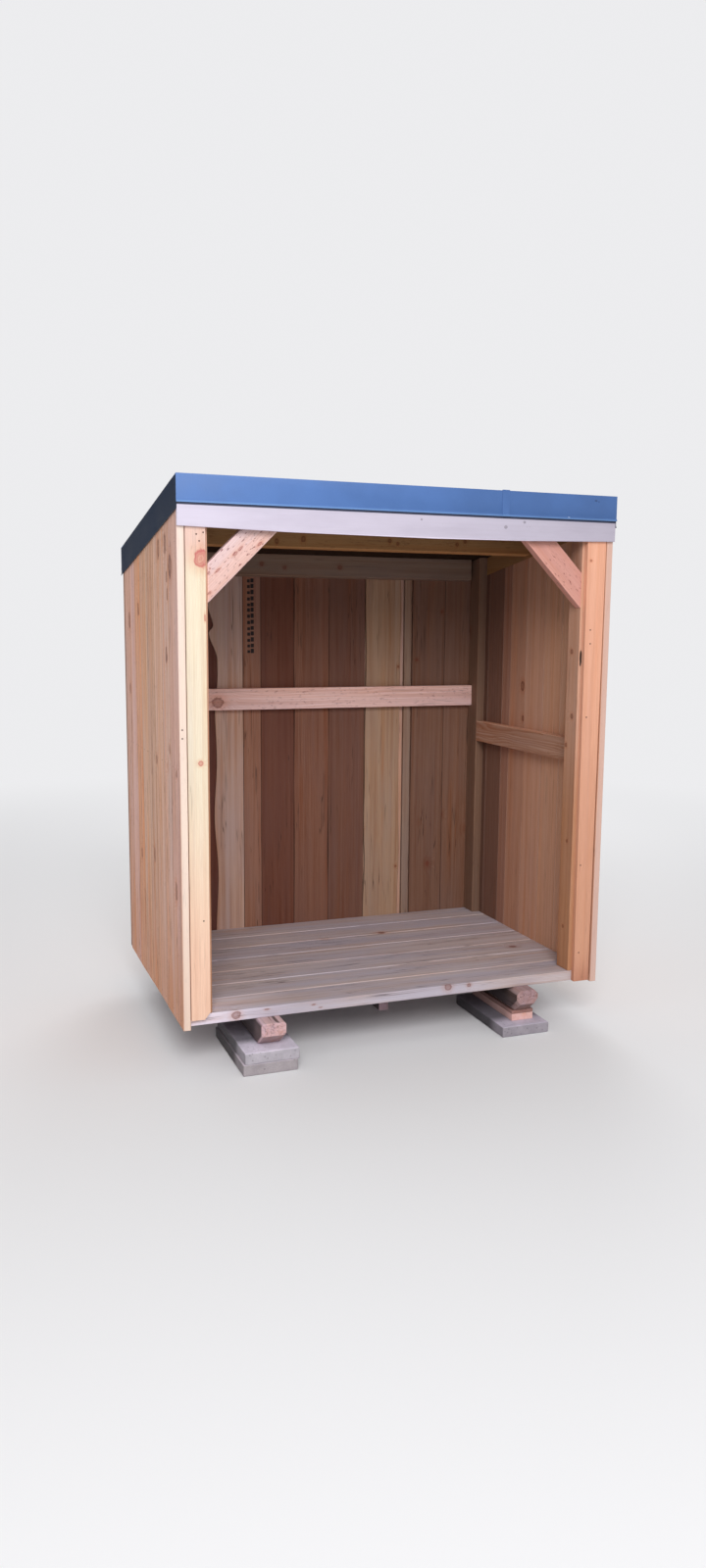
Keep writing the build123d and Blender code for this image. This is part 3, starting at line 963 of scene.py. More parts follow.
# The inner boards of the back, from the left wall's outer face: left edge, right edge, tint, wave
BACK_BOARDS = (
    (0.000, 0.212, (0.62, 0.50, 0.50), 0.0),
    (0.212, 0.386, (0.42, 0.24, 0.25), 0.0),
    (0.352, 0.487, (1.55, 1.55, 1.75), 0.0),
    (0.487, 0.565, (0.88, 0.66, 0.63), 0.0),
    (0.565, 0.712, (0.46, 0.26, 0.23), 0.0),
    (0.712, 0.870, (0.62, 0.42, 0.38), 0.004),
    (0.870, 1.036, (0.52, 0.36, 0.34), 0.0),
    (1.040, 1.204, (1.16, 1.12, 1.04), 0.007),
    (1.222, 1.256, (0.90, 0.90, 0.92), 0.0),
    (1.262, 1.420, (0.60, 0.48, 0.46), 0.0),
    (1.420, 1.605, (0.66, 0.52, 0.48), 0.0),
)
WANEY_BOARD = 2  # the wide grey board with a natural edge
UNDER_BOARD_DEPTH = 0.005  # how far back the board behind that edge lies
# The natural edge: height, distance from the left wall's outer face
WANEY_EDGE = (
    (0.20, 0.362),
    (0.45, 0.372),
    (0.70, 0.358),
    (0.95, 0.370),
    (1.15, 0.364),
    (1.305, 0.377),
    (1.365, 0.376),
    (1.480, 0.341),
    (1.503, 0.360),
    (1.600, 0.336),
    (1.750, 0.350),
    (2.20, 0.340),
)


def waney_edge(height):
    """Where the natural edge of the wide grey board runs at a height."""
    for (low, start), (high, end) in zip(WANEY_EDGE, WANEY_EDGE[1:]):
        if height <= high:
            share = max(0.0, (height - low) / (high - low))
            return start + (end - start) * share * share * (3.0 - 2.0 * share)
    return WANEY_EDGE[-1][1]


def back_wall(material):
    """Two layers: plain boards outside, and old boards with wavy edges inside."""
    low, high = back_wall_low, back_wall_high
    timber = bpy.context.scene.log_store_timber
    middle = (low.y + high.y) / 2
    wall = bmesh.new()
    count = round((high.x - low.x) / timber.back_board_width)
    width = (high.x - low.x) / count
    chance = random.Random("back")
    for index in range(count):
        foot = low.z + chance.uniform(0.0, FOOT_STEP)
        corner = Vector((low.x + index * width, middle + LAYER_GAP, foot))
        plank = board(corner, Vector((corner.x + width, high.y, high.z)), timber.board_ease, 2)
        follow_roof(plank, low, high)
        tone = chance.uniform(0.94, 1.1)
        add_board(wall, plank, "outer" + str(index), [tone * part for part in OUTER_BACK_TINT])
    for index, (start, stop, tint, wave) in enumerate(BACK_BOARDS):
        corner = Vector((low.x + start, low.y, low.z))
        if index == WANEY_BOARD - 1:
            corner.y += UNDER_BOARD_DEPTH
        spacing = 0.01 if index == WANEY_BOARD else 0.05
        plank = board(corner, Vector((low.x + stop, middle, high.z)), timber.board_ease, 2, spacing)
        follow_roof(plank, low, high)
        for vert in plank.verts:
            edge = -1.0 if vert.co.x < low.x + (start + stop) / 2 else 1.0
            vert.co.x += edge * wave * noise.noise(Vector((index * 3.1 + edge, vert.co.z * 4.3, 0.5)))
            if index == WANEY_BOARD and edge < 0.0:
                vert.co.x += waney_edge(vert.co.z) - start
        add_board(wall, plank, "inner" + str(index), tint)
    finish_piece(wall, "back_wall_boards", material, "back_boards", "back_wall")


TICK_ROWS = 13
TICK_FOOT = 1.390  # height of the lowest strokes
TICK_PITCH = 0.0245
TICK_RELIEF = 0.0004
# Left edge, right edge and height of the strokes in each column
TICK_COLUMNS = ((0.507, 0.519, 0.013), (0.5215, 0.535, 0.017))


def tick_marks(material):
    """Two columns of plain short strokes on one of the back boards."""
    strokes = bmesh.new()
    corner = back_wall_low
    chance = random.Random("ticks")
    for row in range(TICK_ROWS):
        for start, stop, tall in TICK_COLUMNS:
            foot = TICK_FOOT + row * TICK_PITCH + chance.uniform(0.0, 0.003)
            top = foot + tall + chance.uniform(-0.002, 0.002)
            low = Vector((corner.x + start, corner.y - TICK_RELIEF, foot))
            add_box(strokes, low, Vector((corner.x + stop, corner.y + TICK_RELIEF, top)))
    finish_piece(strokes, "tick_marks", material, "back_boards")


def plane_knots(points, axis, plane):
    """Knots on an upright plane, given as (across, z, radius, stretch) with across from the corner."""
    if axis == "y":
        return tuple((left_wall_low.x + across, plane, *rest) for across, *rest in points)
    return tuple((plane, left_wall_low.y + across, *rest) for across, *rest in points)


LEFT_WALL_KNOTS = (
    (0.918, 1.525, 0.017, 1.9),
    (0.713, 1.565, 0.013, 1.8),
    (0.930, 1.258, 0.012, 1.9),
    (0.300, 1.766, 0.016, 2.2),
    (0.186, 1.775, 0.016, 2.2),
    (0.110, 1.700, 0.026, 1.5),
    (0.165, 1.668, 0.010, 2.0),
    (0.161, 1.610, 0.009, 2.2),
    (0.190, 1.411, 0.012, 2.4),
    (0.161, 1.095, 0.008, 2.2),
    (0.084, 0.622, 0.015, 2.2),
    (0.466, 0.674, 0.012, 2.4),
    (0.393, 1.034, 0.009, 2.0),
    (0.736, 0.627, 0.010, 2.2),
    (0.053, 1.025, 0.009, 1.6),
)
RIGHT_WALL_KNOTS = ((0.589, 1.264, 0.015, 1.5), (0.580, 1.130, 0.009, 1.5))
LEFT_FACING_KNOTS = (
    (0.078, 1.720, 0.024, 1.3),
    (0.069, 1.065, 0.009, 1.0),
    (0.089, 1.535, 0.003, 4.0),
)
RIGHT_FACING_KNOTS = ((1.516, 1.751, 0.005, 1.0),)
RIGHT_SLIT = ((1.4980, 1.398, 0.0042, 7.6),)
RIGHT_POST_KNOTS = (
    (0.070, 1.421, 0.008, 1.2),
    (0.054, 1.182, 0.009, 1.2),
    (0.088, 1.071, 0.007, 1.2),
    (0.057, 0.708, 0.006, 1.2),
    (0.064, 0.372, 0.006, 1.2),
)
PURLIN_KNOTS = (
    (0.497, 1.825, 0.010, 0.8),
    (0.602, 1.835, 0.012, 0.8),
    (0.957, 1.839, 0.009, 0.8),
    (0.990, 1.829, 0.006, 1.0),
    (1.248, 1.834, 0.008, 0.9),
    (1.282, 1.846, 0.007, 0.9),
)
DECK_KNOTS = (
    (0.186, 0.189, 0.014, 1.2),
    (0.986, 0.200, 0.013, 1.2),
    (1.072, 0.198, 0.007, 1.2),
    (0.294, 0.197, 0.003, 3.0),
    (0.466, 0.194, 0.003, 2.5),
    (0.491, 0.181, 0.002, 3.0),
)
BACK_RAIL_KNOTS = ((0.368, 1.189, 0.022, 1.3),)
TOP_RAIL_KNOTS = ((0.560, 1.760, 0.009, 1.0), (0.660, 1.748, 0.007, 1.2), (0.905, 1.755, 0.010, 1.0))
LEFT_BRACE_FLECKS = (
    (0.104, 1.675, 0.004, 2.2),
    (0.137, 1.685, 0.004, 2.4),
    (0.111, 1.691, 0.003, 1.0),
    (0.277, 1.773, 0.004, 2.5),
    (0.195, 1.740, 0.005, 2.2),
    (0.212, 1.756, 0.004, 3.0),
    (0.110, 1.614, 0.004, 1.6),
)


class LOGSTORE_OT_walls(bpy.types.Operator):
    """Boards of the two side walls and the back"""

    bl_idname = "logstore.walls"
    bl_label = "Walls"

    def execute(self, context):
        timber = context.scene.log_store_timber
        left = sawn_timber(
            "left wall boards", timber.wall, wave=0.045, contrast=0.7, grey=0.4, broad=0.8, checks=0.6,
            rough=0.3, knots=plane_knots(LEFT_WALL_KNOTS, "x", left_wall_low.x),
            knot_colour=srgb(60, 32, 24), knot_share=0.10, front=timber.wall_edge,
            levels=((0.9, 0.1, srgb(219, 168, 138)),), seam=0.5, seam_start=left_wall_low.y + SEAM_START,
        )
        right = sawn_timber(
            "right wall boards", timber.wall_inside, wave=0.06, contrast=0.38, grey=0.25, broad=0.55,
            knots=plane_knots(RIGHT_WALL_KNOTS, "x", right_wall_low.x), knot_colour=srgb(78, 38, 28),
            knot_share=0.15, front=timber.right_edge, seam=0.3, seam_start=right_wall_low.y + SEAM_START,
        )
        back = sawn_timber(
            "back boards", timber.back, contrast=0.6, grey=0.5, broad=0.8, checks=0.6, seam=0.8, seam_axis=0
        )
        paler = [outer / inner for outer, inner in zip(timber.wall, timber.wall_inside)]
        # The left wall's inside gets the same painted shade towards the back
        left_inner = [tuple(t / p for t, p in zip(tint, paler)) for tint in RIGHT_TINTS_AND_SHADE]
        right_outer = [tuple(t * p for t, p in zip(tint, paler)) for tint in LEFT_TINTS]
        side_wall("left_wall_boards", "left_wall", LEFT_JOINTS, LEFT_TINTS, left_inner, left)
        side_wall("right_wall_boards", "right_wall", RIGHT_JOINTS, right_outer, RIGHT_TINTS_AND_SHADE, right)
        back_wall(back)
        tick_marks(plain_metal_material("stencil paint", srgb(30, 18, 20), 0.0, 0.8))
        return {"FINISHED"}


class LOGSTORE_OT_frame(bpy.types.Operator):
    """Posts, facings, rails, braces and the timbers under the roof"""

    bl_idname = "logstore.frame"
    bl_label = "Frame"

    def execute(self, context):
        timber = context.scene.log_store_timber
        front = left_wall_low.y
        frame_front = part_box("front_left_post")[0].y
        rail_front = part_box("back_middle_rail")[0].y
        post = sawn_timber(
            "post timber", timber.post, grey=0.2, knot_colour=srgb(80, 34, 26),
            knots=plane_knots(RIGHT_POST_KNOTS, "x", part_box("front_right_post")[0].x),
            slits=plane_knots(RIGHT_SLIT, "y", frame_front), levels=((1.25, 0.75, srgb(188, 138, 104)),),
        )
        # Painted shade: the rear studs take the posts' colour, darkened at the back of the bay
        stud = sawn_timber("stud timber", scaled_colour(timber.post, 0.36, 0.36, 0.34))
        left_facing = sawn_timber(
            "left facing", scaled_colour(timber.left_facing, 0.95, 0.76, 0.84), wave=0.03, contrast=0.25,
            grey=0.12, knots=plane_knots(LEFT_FACING_KNOTS, "y", front), knot_colour=srgb(186, 76, 82),
            knot_depth=1.0, knot_share=0.0,
            levels=((1.78, 1.66, timber.left_facing), (1.1, 0.3, timber.left_facing_foot)),
        )
        right_facing = sawn_timber(
            "right facing", timber.right_facing, wave=0.03, contrast=0.25, grey=0.12, knot_share=0.0,
            knots=plane_knots(RIGHT_FACING_KNOTS, "y", front), slits=plane_knots(RIGHT_SLIT, "y", front),
            levels=((1.7, 0.3, timber.right_facing_foot), (0.3, 0.12, srgb(186, 128, 104))),
        )
        left_brace = sawn_timber(
            "left brace", timber.brace, "left brace", contrast=0.35, grey=0.15, rough=1.0, knot_share=0.0,
            knots=plane_knots(LEFT_BRACE_FLECKS, "y", frame_front), knot_colour=srgb(140, 74, 76),
        )
        right_brace = sawn_timber(
            "right brace", timber.right_brace, "right brace", contrast=0.3, grey=0.15, rough=0.8,
            knot_share=0.0,
        )
        side_rail = sawn_timber(
            "side rails", scaled_colour(timber.rail, 0.58, 0.50, 0.38), "Y", wave=0.22, contrast=0.9,
            grey=0.2, ring_scale=3.2, rough=0.2,
        )
        back_rail = sawn_timber(
            "back rails", timber.rail, "X", wave=0.09, contrast=0.5, grey=0.2, ring_scale=2.0, rough=0.4,
            knots=plane_knots(BACK_RAIL_KNOTS, "y", rail_front),
        )
        # Painted shade: the top rail takes the rails' colour, darkened high at the back under the roof
        top_rail = sawn_timber(
            "top rail", scaled_colour(timber.rail, 0.30, 0.30, 0.24), "X", contrast=0.5, grey=0.5,
            knots=plane_knots(TOP_RAIL_KNOTS, "y", rail_front), knot_share=0.0,
        )
        rake = sawn_timber("rake boards", timber.roof_timber, "Y", contrast=0.35, grey=0.2)
        purlin = sawn_timber(
            "purlins", timber.roof_timber, "X", contrast=0.45, grey=0.15, rough=0.3, knot_share=0.0,
            knots=plane_knots(PURLIN_KNOTS, "y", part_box("middle_purlin")[0].y), knot_colour=srgb(86, 46, 26),
        )
        ease = timber.edge_ease
        for node in ("front_left_post", "front_right_post"):
            eased_timber(node, post, "post_wood", ease, 2)
        for node in ("rear_left_stud", "rear_right_stud"):
            eased_timber(node, stud, "post_wood", ease, 2)
        sides = (("left", left_facing, -FACING_WIDEN), ("right", right_facing, FACING_WIDEN))
        for end, facing, widen in sides:
            look = {"rough": 0.0001, "widen": widen, "edge_highlight": 1.0}
            eased_timber(end + "_front_facing", facing, "facing_wood", ease / 3, 2, **look)
        # Painted highlight on the faces of the left brace that look down to the right
        lit = ((RIGHT - UP).normalized(), 1.3)
        eased_timber("left_knee_brace", left_brace, "brace_wood", ease * 1.5, 2, spacing=0.08, side=lit)
        eased_timber("right_knee_brace", right_brace, "brace_wood", ease, 2, spacing=0.08)
        # Painted light on the tops of the side rails
        for node in ("left_side_rail", "right_side_rail"):
            eased_timber(node, side_rail, "rail_wood", ease, 1, side=(UP, 1.5))
        eased_timber("back_middle_rail", back_rail, "rail_wood", ease, 0)
        eased_timber("back_top_rail", top_rail, "rail_wood", ease, 0)
        for node in ("left_rake_board", "right_rake_board"):
            eased_timber(node, rake, "roof_timber", ease / 3, 1)
        # Painted light on the undersides of the header and the purlin
        for node in ("front_header", "middle_purlin"):
            eased_timber(node, purlin, "roof_timber", ease, 0, side=(-UP, 1.5))
        return {"FINISHED"}


DECK_ROUGHNESS = 0.0008
SKID_ROUGHNESS = 0.0016
SKID_TINTS = {"left_skid": (1.17, 1.22, 1.30), "right_skid": (0.74, 0.73, 0.74)}
PACKER_SPLIT = 0.66  # height of the joint between a packer's two pieces, as a share
PACKER_GAP = 0.0004
PACKER_EASE = 0.001
# Tints of a packer's lower and upper piece; the upper one is darkened as painted shade under the skid
PACKER_TINTS_AND_SHADE = ((1.0, 1.0, 1.0), (0.42, 0.36, 0.34))


class LOGSTORE_OT_deck(bpy.types.Operator):
    """Deck boards, the joist and the skids under them"""

    bl_idname = "logstore.deck"
    bl_label = "Deck and skids"

    def execute(self, context):
        timber = context.scene.log_store_timber
        deck = sawn_timber(
            "deck boards", timber.deck, "X", wave=0.04, contrast=0.45, grey=0.6, checks=0.55, bump=0.0009,
            knots=plane_knots(DECK_KNOTS, "y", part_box("front_deck_board")[0].y),
        )
        # The skids carry painted shade on their left faces and under the deck
        skid = sawn_timber(
            "skids", timber.skid, "Y", contrast=0.6, grey=0.6, checks=0.9, end=(1.04, 0.98, 1.0),
            sheltered=0.30, left_side=0.2, bump=0.0012,
        )
        # The packers carry painted shade under the deck
        packer = sawn_timber(
            "packers", timber.packer, "Y", wave=0.03, grey=0.1, end=(1.0, 0.96, 0.94), sheltered=0.55
        )
        ease = timber.edge_ease
        # Painted light on the front deck board's left end
        eased_timber("front_deck_board", deck, "deck_boards", ease, 0, DECK_ROUGHNESS, 0.1, painted_left_light=0.75)
        eased_timber("deck_boards", deck, "deck_boards", ease, 0, DECK_ROUGHNESS)
        eased_timber("middle_joist", skid, "skid_timber", ease, 1)
        # Painted shade on the skids' faces that look forward and down
        shaded = ((FORWARD - UP).normalized(), 0.65)
        for node, tint in SKID_TINTS.items():
            look = {"tint": tint, "side": shaded}
            eased_timber(node, skid, "skid_timber", ease / 2, 1, SKID_ROUGHNESS, 0.05, **look)
        for node in ("front_right_packer", "rear_right_packer"):
            low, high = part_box(node)
            stack = bmesh.new()
            split = low.z + (high.z - low.z) * PACKER_SPLIT
            layers = ((low.z, split - PACKER_GAP), (split + PACKER_GAP, high.z))
            for index, (foot, top) in enumerate(layers):
                corners = Vector((low.x, low.y, foot)), Vector((high.x, high.y, top))
                plank = board(*corners, PACKER_EASE, 1, spacing=0.08)
                add_board(stack, plank, node + str(index), PACKER_TINTS_AND_SHADE[index])
            finish_piece(stack, node + "_boards", packer, "packer_wood", node)
        return {"FINISHED"}


BLOCK_EASE = 0.0015
BLOCK_GRID = 0.012  # distance between the cuts in a block's faces
BLOCK_HOLLOW = 0.022  # distance between two hollows
BLOCK_TINTS = {
    "left_lower_block": (0.78, 0.75, 0.73),
    "left_upper_block": (1.0, 1.0, 1.02),
    "right_block": (0.74, 0.72, 0.75),
}


class LOGSTORE_OT_blocks(bpy.types.Operator):
    """Flat concrete blocks under the skids"""

    bl_idname = "logstore.blocks"
    bl_label = "Blocks"

    def execute(self, context):
        shell = context.scene.log_store_shell
        concrete = concrete_material("block concrete", shell.concrete)
        for end in ("front", "rear"):
            for name, tint in BLOCK_TINTS.items():
                node = f"{end}_{name}"
                shape = copy_of_node(node)
                ease_edges(shape, sharp_edges(shape), BLOCK_EASE)
                for axis in range(3):
                    cut_across(shape, axis, BLOCK_GRID)
                roughen(shape, shell.block_roughness, BLOCK_HOLLOW)
                mark_board(shape, shape.verts, name_seed(node), tint)
                finish_piece(shape, node + "_cast", concrete, "block_concrete", node)
        return {"FINISHED"}


ROOF_BOARDS = 7
ROOF_BOARD_EASE = 0.001
FASCIA_EASE = 0.001
TRIM_EASE = 0.0005
HEM_HEIGHT = 0.006
HEM_KICK = 0.003
HEM_CUT = 0.0025  # from the top of the hem up to where the trim stays straight
# Painted highlight along the hem, where the fold catches the light
HEM_HIGHLIGHT = (1.75, 1.6, 1.3)
# Where each trim's hem bends to, and how its lower edge slopes
HEM_TURNS = {
    "front_trim_left": (FORWARD, 0.0),
    "front_trim_right": (FORWARD, 0.0),
    "left_rake_trim": (-RIGHT, ROOF_SLOPE),
    "right_rake_trim": (RIGHT, ROOF_SLOPE),
    "rear_trim": (BACK, 0.0),
}
FASCIA_CHIPS = ((1.158, 1.856, 0.006), (1.231, 1.875, 0.005), (0.836, 1.870, 0.004))
TRIM_SCUFFS = (
    (1.518, 1.961, 0.006, srgb(40, 50, 80)),
    (1.530, 1.958, 0.004, srgb(40, 50, 80)),
    (1.407, 1.899, 0.004, srgb(190, 200, 225)),
)


def kick_out_hem(shape, outwards, slope):
    """Bends the folded lower edge of a trim outwards and gives it a painted highlight."""
    foot = min(v.co.z - slope * v.co.y for v in shape.verts)
    cut_plane(shape, UP * (foot + HEM_HEIGHT + HEM_CUT), (UP - BACK * slope).normalized())
    hem = [v for v in shape.verts if v.co.z - slope * v.co.y < foot + HEM_HEIGHT + 0.001]
    for vert in hem:
        rise = vert.co.z - slope * vert.co.y - foot
        vert.co += outwards * HEM_KICK * (1.0 - rise / HEM_HEIGHT)
    mark_board(shape, hem, 0.0, HEM_HIGHLIGHT)


class LOGSTORE_OT_roof(bpy.types.Operator):
    """Sheathing boards, fascias, the ribbed sheet and its folded trim"""

    bl_idname = "logstore.roof"
    bl_label = "Roof"

    def execute(self, context):
        shell = context.scene.log_store_shell
        sheathing = sawn_timber("sheathing", context.scene.log_store_timber.sheathing, "X", wave=0.06)
        low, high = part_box("roof_sheathing")
        thickness = (high.z - low.z) + ROOF_SLOPE * (high.y - low.y)
        boards = bmesh.new()
        width = (high.y - low.y) / ROOF_BOARDS
        for index in range(ROOF_BOARDS):
            corner = Vector((low.x, low.y + index * width, 0.0))
            far_corner = corner + Vector((high.x - low.x, width, thickness))
            plank = board(corner, far_corner, ROOF_BOARD_EASE, 0, spacing=0.3)
            for vert in plank.verts:
                vert.co.z += high.z - thickness + ROOF_SLOPE * (vert.co.y - low.y)
            add_board(boards, plank, "sheathing" + str(index))
        finish_piece(boards, "roof_sheathing_boards", sheathing, "sheathing_wood", "roof_sheathing")

        front_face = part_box("front_fascia")[0].y
        chips = [(left_wall_low.x + x, front_face, z, radius) for x, z, radius in FASCIA_CHIPS]
        trim_feet = [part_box(node)[0].z for node in ("front_trim_right", "rear_trim")]
        board_feet = [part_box(node)[0].z for node in ("front_fascia", "rear_fascia")]
        paint = fascia_material("fascia paint", shell.fascia_paint, chips, trim_feet, board_feet)
        for node in ("front_fascia", "rear_fascia"):
            shape = copy_of_node(node)
            ease_edges(shape, sharp_edges(shape), FASCIA_EASE)
            mark_board(shape, shape.verts, name_seed(node))
            finish_piece(shape, node + "_board", paint, "fascia_wood", node)

        trim_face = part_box("front_trim_right")[0].y
        scuffs = [(left_wall_low.x + x, trim_face, *rest) for x, *rest in TRIM_SCUFFS]
        # Painted light: the trim is paler at the left end and darker at the right
        trim = painted_metal_material("trim metal", shell.roof_blue, scuffs, 0.84)
        sheet = painted_metal_material("roof metal", shell.roof_blue, folded=False)
        look = {"shine": 0.03, "roughness": 0.7, "top": shell.roof_blue}
        # The rake trim's sides get the darker blue as painted shade, and its top keeps the roof's blue
        rake = painted_metal_material("rake metal", shell.rake_blue, **look)
        for node, (outwards, slope) in HEM_TURNS.items():
            shape = copy_of_node(node)
            ease_edges(shape, sharp_edges(shape), TRIM_EASE)
            mark_board(shape, shape.verts, 0.0)
            kick_out_hem(shape, outwards, slope)
            finish_piece(shape, node + "_fold", rake if "rake" in node else trim, "trim_metal", node)
        nodes["roof_sheet"].data.materials[0] = sheet
        return {"FINISHED"}


# Fixings

HEAD_TAPER = 0.86  # radius of a head's top against its foot
HEAD_SINK = 0.0002  # how deep a head is sunk
NAIL_HEIGHT = 0.0012
SIDE_NAIL_HEIGHT = 0.0006
SIDE_NAIL_PLACES = (0.22, 0.78)  # over the width of a board
TOP_NAIL_DROP = 0.10  # from the wall's top down to the highest row of nails
SCREW_INSET = 0.12  # from the sheet's edge to the first row of screws
SCREW_COLUMNS = 7
FIRST_COLUMN = 0.092  # from the sheet's left edge, in the first pan between two ribs
RIB_PITCH = 0.2201
RIB_HEIGHT = 0.009
WASHER_HEIGHT = 0.0016
SCREW_LIFT = 0.0014
SCREW_HEIGHT = 0.0045
FACING_NAILS = (
    (0.064, 1.796),
    (0.086, 1.802),
    (0.073, 1.775),
    (0.073, 0.536),
    (1.523, 1.502),
    (1.525, 1.452),
    (1.520, 1.182),
    (1.519, 0.623),
    (1.525, 0.282),
)
STRIP_NAILS = ((0.010, 1.175), (0.010, 1.147))


def add_head(shape, place, normal, radius, height, sides):
    """A nail or screw head: a short tapered drum standing on a surface."""
    turn = normal.to_track_quat("Z", "Y").to_matrix().to_4x4()
    matrix = Matrix.Translation(place + normal * (height / 2 - HEAD_SINK)) @ turn
    drum = {"radius1": radius, "radius2": radius * HEAD_TAPER, "depth": height + 2 * HEAD_SINK}
    bmesh.ops.create_cone(shape, cap_ends=True, segments=sides, matrix=matrix, **drum)


class LOGSTORE_OT_fixings(bpy.types.Operator):
    """Nail heads on the timber and hexagonal screws on the roof sheet"""

    bl_idname = "logstore.fixings"
    bl_label = "Fixings"

    def execute(self, context):
        radius = context.scene.log_store_timber.nail_radius
        nails = bmesh.new()
        for x, z in FACING_NAILS + STRIP_NAILS:
            place = Vector((left_wall_low.x + x, left_wall_low.y, z))
            add_head(nails, place, FORWARD, radius, NAIL_HEIGHT, 10)
        rail_low, rail_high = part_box("left_side_rail")
        deck_low, deck_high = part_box("front_deck_board")
        heights = ((rail_low.z + rail_high.z) / 2, (deck_low.z + deck_high.z) / 2)
        for side, joints, face in ((-1, LEFT_JOINTS, left_wall_low.x), (1, RIGHT_JOINTS, right_wall_high.x)):
            normal = Vector((side, 0.0, 0.0))
            ends = list(joints) + [left_wall_high.y - left_wall_low.y]
            for near, far in zip(ends, ends[1:]):
                for share in SIDE_NAIL_PLACES:
                    y = left_wall_low.y + near + (far - near) * share
                    top = left_wall_high.z + ROOF_SLOPE * (y - left_wall_low.y) - TOP_NAIL_DROP
                    for z in heights + (top,):
                        add_head(nails, Vector((face, y, z)), normal, radius / 2, SIDE_NAIL_HEIGHT, 8)
        steel = plain_metal_material("nail steel", srgb(92, 66, 58), 0.3, 0.6)
        finish_piece(nails, "nail_heads", steel, "trim_metal")

        shell = context.scene.log_store_shell
        radius = shell.screw_radius
        low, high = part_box("roof_sheet")
        screws = bmesh.new()
        normal = (UP - BACK * ROOF_SLOPE).normalized()
        reach = high.y - low.y - 2 * SCREW_INSET
        for row in range(shell.screw_rows):
            y = low.y + SCREW_INSET + reach * row / (shell.screw_rows - 1)
            z = high.z - RIB_HEIGHT + ROOF_SLOPE * (y - low.y)
            for index in range(SCREW_COLUMNS):
                place = Vector((low.x + FIRST_COLUMN + RIB_PITCH * index, y, z))
                add_head(screws, place, normal, radius * 1.5, WASHER_HEIGHT, 16)
                add_head(screws, place + normal * SCREW_LIFT, normal, radius, SCREW_HEIGHT, 6)
        blue = plain_metal_material("screw paint", shell.roof_blue, 0.3, 0.45)
        finish_piece(screws, "roof_screws", blue, "trim_metal")
        return {"FINISHED"}


# Stage

CAMERA_PLACE = Vector((-1.5371, -4.0521, 1.5221))
CAMERA_YAW = 20.710
CAMERA_PITCH = 8.272
CAMERA_ROLL = -0.424
FOCAL_PIXELS = 1132.0
FRAME_HEIGHT = 1600.0
SENSOR = 36.0
FLOOR_RADIUS = 40.0
FADE_START = 2.6  # distances from the store over which the floor fades into the backdrop
FADE_END = 7.0
LAMP_TARGET = Vector((0.0, 0.0, 1.0))
LAMP_SIZE = 3.5


def camera_matrix():
    """Place and turn of the camera: yaw to the right, pitch down, then roll."""
    yaw, pitch, roll = radians(CAMERA_YAW), radians(CAMERA_PITCH), radians(CAMERA_ROLL)
    forward = Vector((sin(yaw) * cos(pitch), cos(yaw) * cos(pitch), -sin(pitch)))
    right = Vector((cos(yaw), -sin(yaw), 0.0))
    down = forward.cross(right)
    turned_right = right * cos(roll) + down * sin(roll)
    turned_down = down * cos(roll) - right * sin(roll)
    axes = Matrix((turned_right, -turned_down, -forward)).transposed()
    return Matrix.Translation(CAMERA_PLACE) @ axes.to_4x4()


def add_lamp(name, place, power):
    lamp = bpy.data.lights.new(name, "AREA")
    lamp.shape = "DISK"
    lamp.size = LAMP_SIZE
    lamp.energy = power
    item = add_object(name, lamp)
    item.location = place
    item.rotation_mode = "QUATERNION"
    item.rotation_quaternion = (LAMP_TARGET - Vector(place)).to_track_quat("-Z", "Y")


def seen(tree, *kinds):
    """1 for the kinds of rays that show the backdrop's plain colour, 0 for those that carry light."""
    path = put(tree, "LightPath").outputs
    mask = path["Is Camera Ray"]
    for kind in kinds:
        mask = calc(tree, "MAXIMUM", mask, path[kind])
    return mask


def mix_shaders(tree, share, first, second, output):
    mixed = put(tree, "MixShader", {0: share, 1: first, 2: second}).outputs[0]
    feed(tree, tree.nodes[output], {"Surface": mixed})


def floor_material(backdrop):
    """Pale floor that keeps shadows near the store and fades into the backdrop's colour far away."""
    material, tree, shader = new_material("floor")
    feed(tree, shader, {"Base Color": opaque(backdrop), "Roughness": 0.9, "Specular IOR Level": 0.1})
    far = step(tree, vector_calc(tree, "LENGTH", object_place(tree)), FADE_START, FADE_END)
    share = times(tree, far, seen(tree, "Is Glossy Ray"))
    glow = put(tree, "Emission", {"Color": opaque(backdrop), "Strength": 1.0}).outputs[0]
    mix_shaders(tree, share, shader.outputs[0], glow, "Material Output")
    return material


def soft_world(backdrop, strength):
    """Even white light from all round, with the backdrop's colour in its place where it is seen."""
    world = bpy.data.worlds.new("soft studio")
    world.use_nodes = True
    tree = world.node_tree
    share = seen(tree, "Is Glossy Ray", "Is Transmission Ray")
    light = put(tree, "Background", {"Color": opaque((1.0, 1.0, 1.0)), "Strength": strength}).outputs[0]
    shown = put(tree, "Background", {"Color": opaque(backdrop), "Strength": 1.0}).outputs[0]
    mix_shaders(tree, share, light, shown, "World Output")
    return world


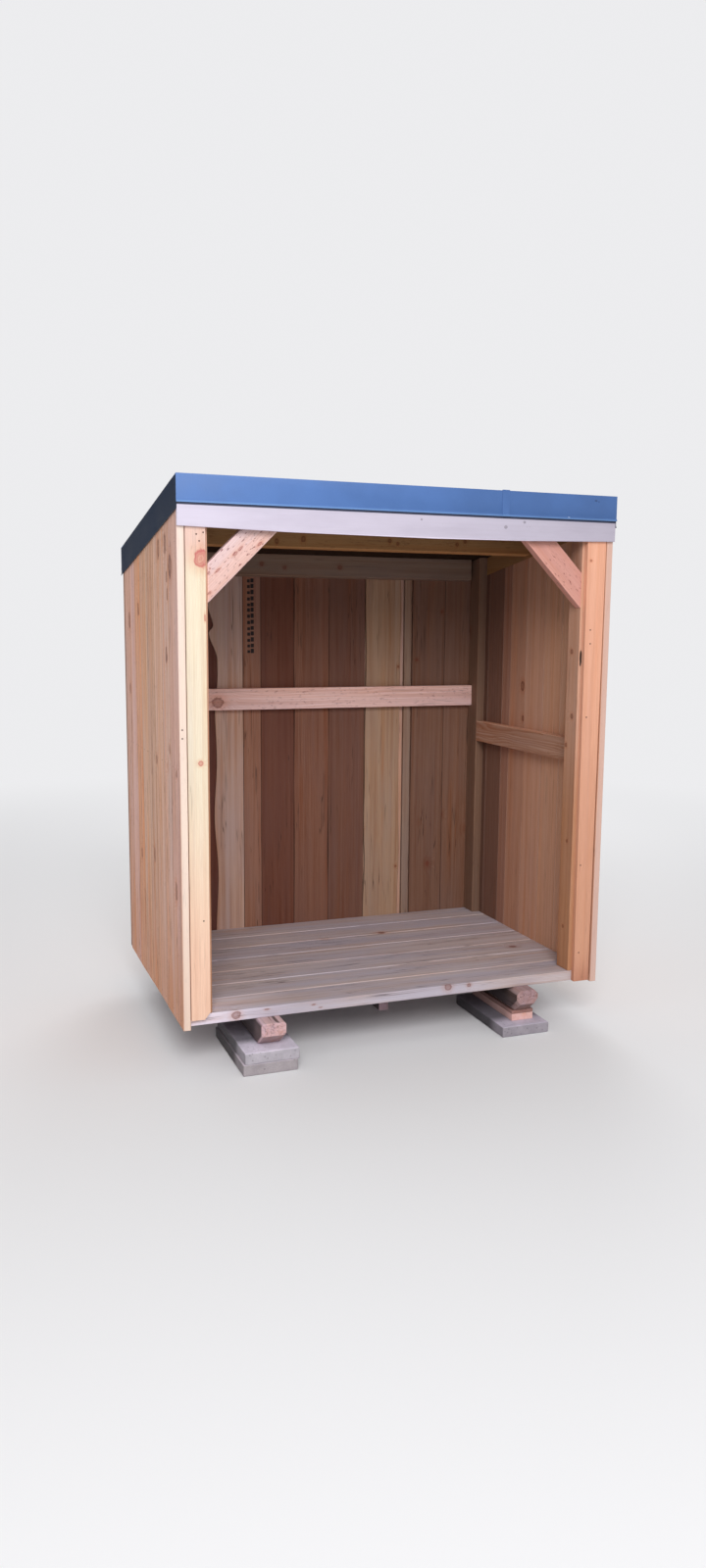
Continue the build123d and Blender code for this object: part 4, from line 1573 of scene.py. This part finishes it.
class LOGSTORE_OT_stage(bpy.types.Operator):
    """Pale floor, soft light and the camera"""

    bl_idname = "logstore.stage"
    bl_label = "Stage"

    def execute(self, context):
        scene = context.scene
        stage = scene.log_store_stage
        shape = bmesh.new()
        bmesh.ops.create_circle(shape, cap_ends=True, segments=96, radius=FLOOR_RADIUS)
        mesh = mesh_of(shape, "floor")
        mesh.materials.append(floor_material(stage.backdrop))
        floor = add_object("floor", mesh)
        scene.world = soft_world(stage.backdrop, stage.world_strength)
        add_lamp("key", (-1.8, -5.9, 4.5), stage.key_power)
        add_lamp("fill", (2.5, 5.0, 4.0), stage.fill_power)

        camera = bpy.data.cameras.new("camera")
        camera.sensor_fit = "AUTO"
        camera.sensor_width = SENSOR
        camera.lens = FOCAL_PIXELS * SENSOR / FRAME_HEIGHT
        scene.camera = add_object("camera", camera)
        scene.camera.matrix_world = camera_matrix()
        scene.view_settings.view_transform = "Standard"
        return {"FINISHED"}


OPERATORS = (
    LOGSTORE_OT_walls,
    LOGSTORE_OT_frame,
    LOGSTORE_OT_deck,
    LOGSTORE_OT_blocks,
    LOGSTORE_OT_roof,
    LOGSTORE_OT_fixings,
    LOGSTORE_OT_stage,
)
SETTINGS = {
    "log_store_timber": LogStoreTimberSettings,
    "log_store_shell": LogStoreShellSettings,
    "log_store_stage": LogStoreStageSettings,
}


class LOGSTORE_PT_panel(bpy.types.Panel):
    """Lists the steps that build the log store"""

    bl_idname = "LOGSTORE_PT_panel"
    bl_label = "Log Store"
    bl_space_type = "VIEW_3D"
    bl_region_type = "UI"
    bl_category = "Log Store"

    def draw(self, context):
        column = self.layout.column()
        for operator in OPERATORS:
            column.operator(operator.bl_idname)
        for group in SETTINGS:
            settings = getattr(context.scene, group)
            for name in settings.bl_rna.properties.keys():
                if name not in ("rna_type", "name"):
                    column.prop(settings, name)


def register():
    for cls in (*SETTINGS.values(), *OPERATORS, LOGSTORE_PT_panel):
        bpy.utils.register_class(cls)
    for name, cls in SETTINGS.items():
        setattr(bpy.types.Scene, name, PointerProperty(type=cls))


def unregister():
    for name in SETTINGS:
        delattr(bpy.types.Scene, name)
    for cls in (LOGSTORE_PT_panel, *reversed(OPERATORS), *SETTINGS.values()):
        bpy.utils.unregister_class(cls)


def main():
    """Builds every piece in order."""
    register()
    build_groups()
    for step_name in ("walls", "frame", "deck", "blocks", "roof", "fixings", "stage"):
        getattr(bpy.ops.logstore, step_name)()


if __name__ == "__main__":
    main()
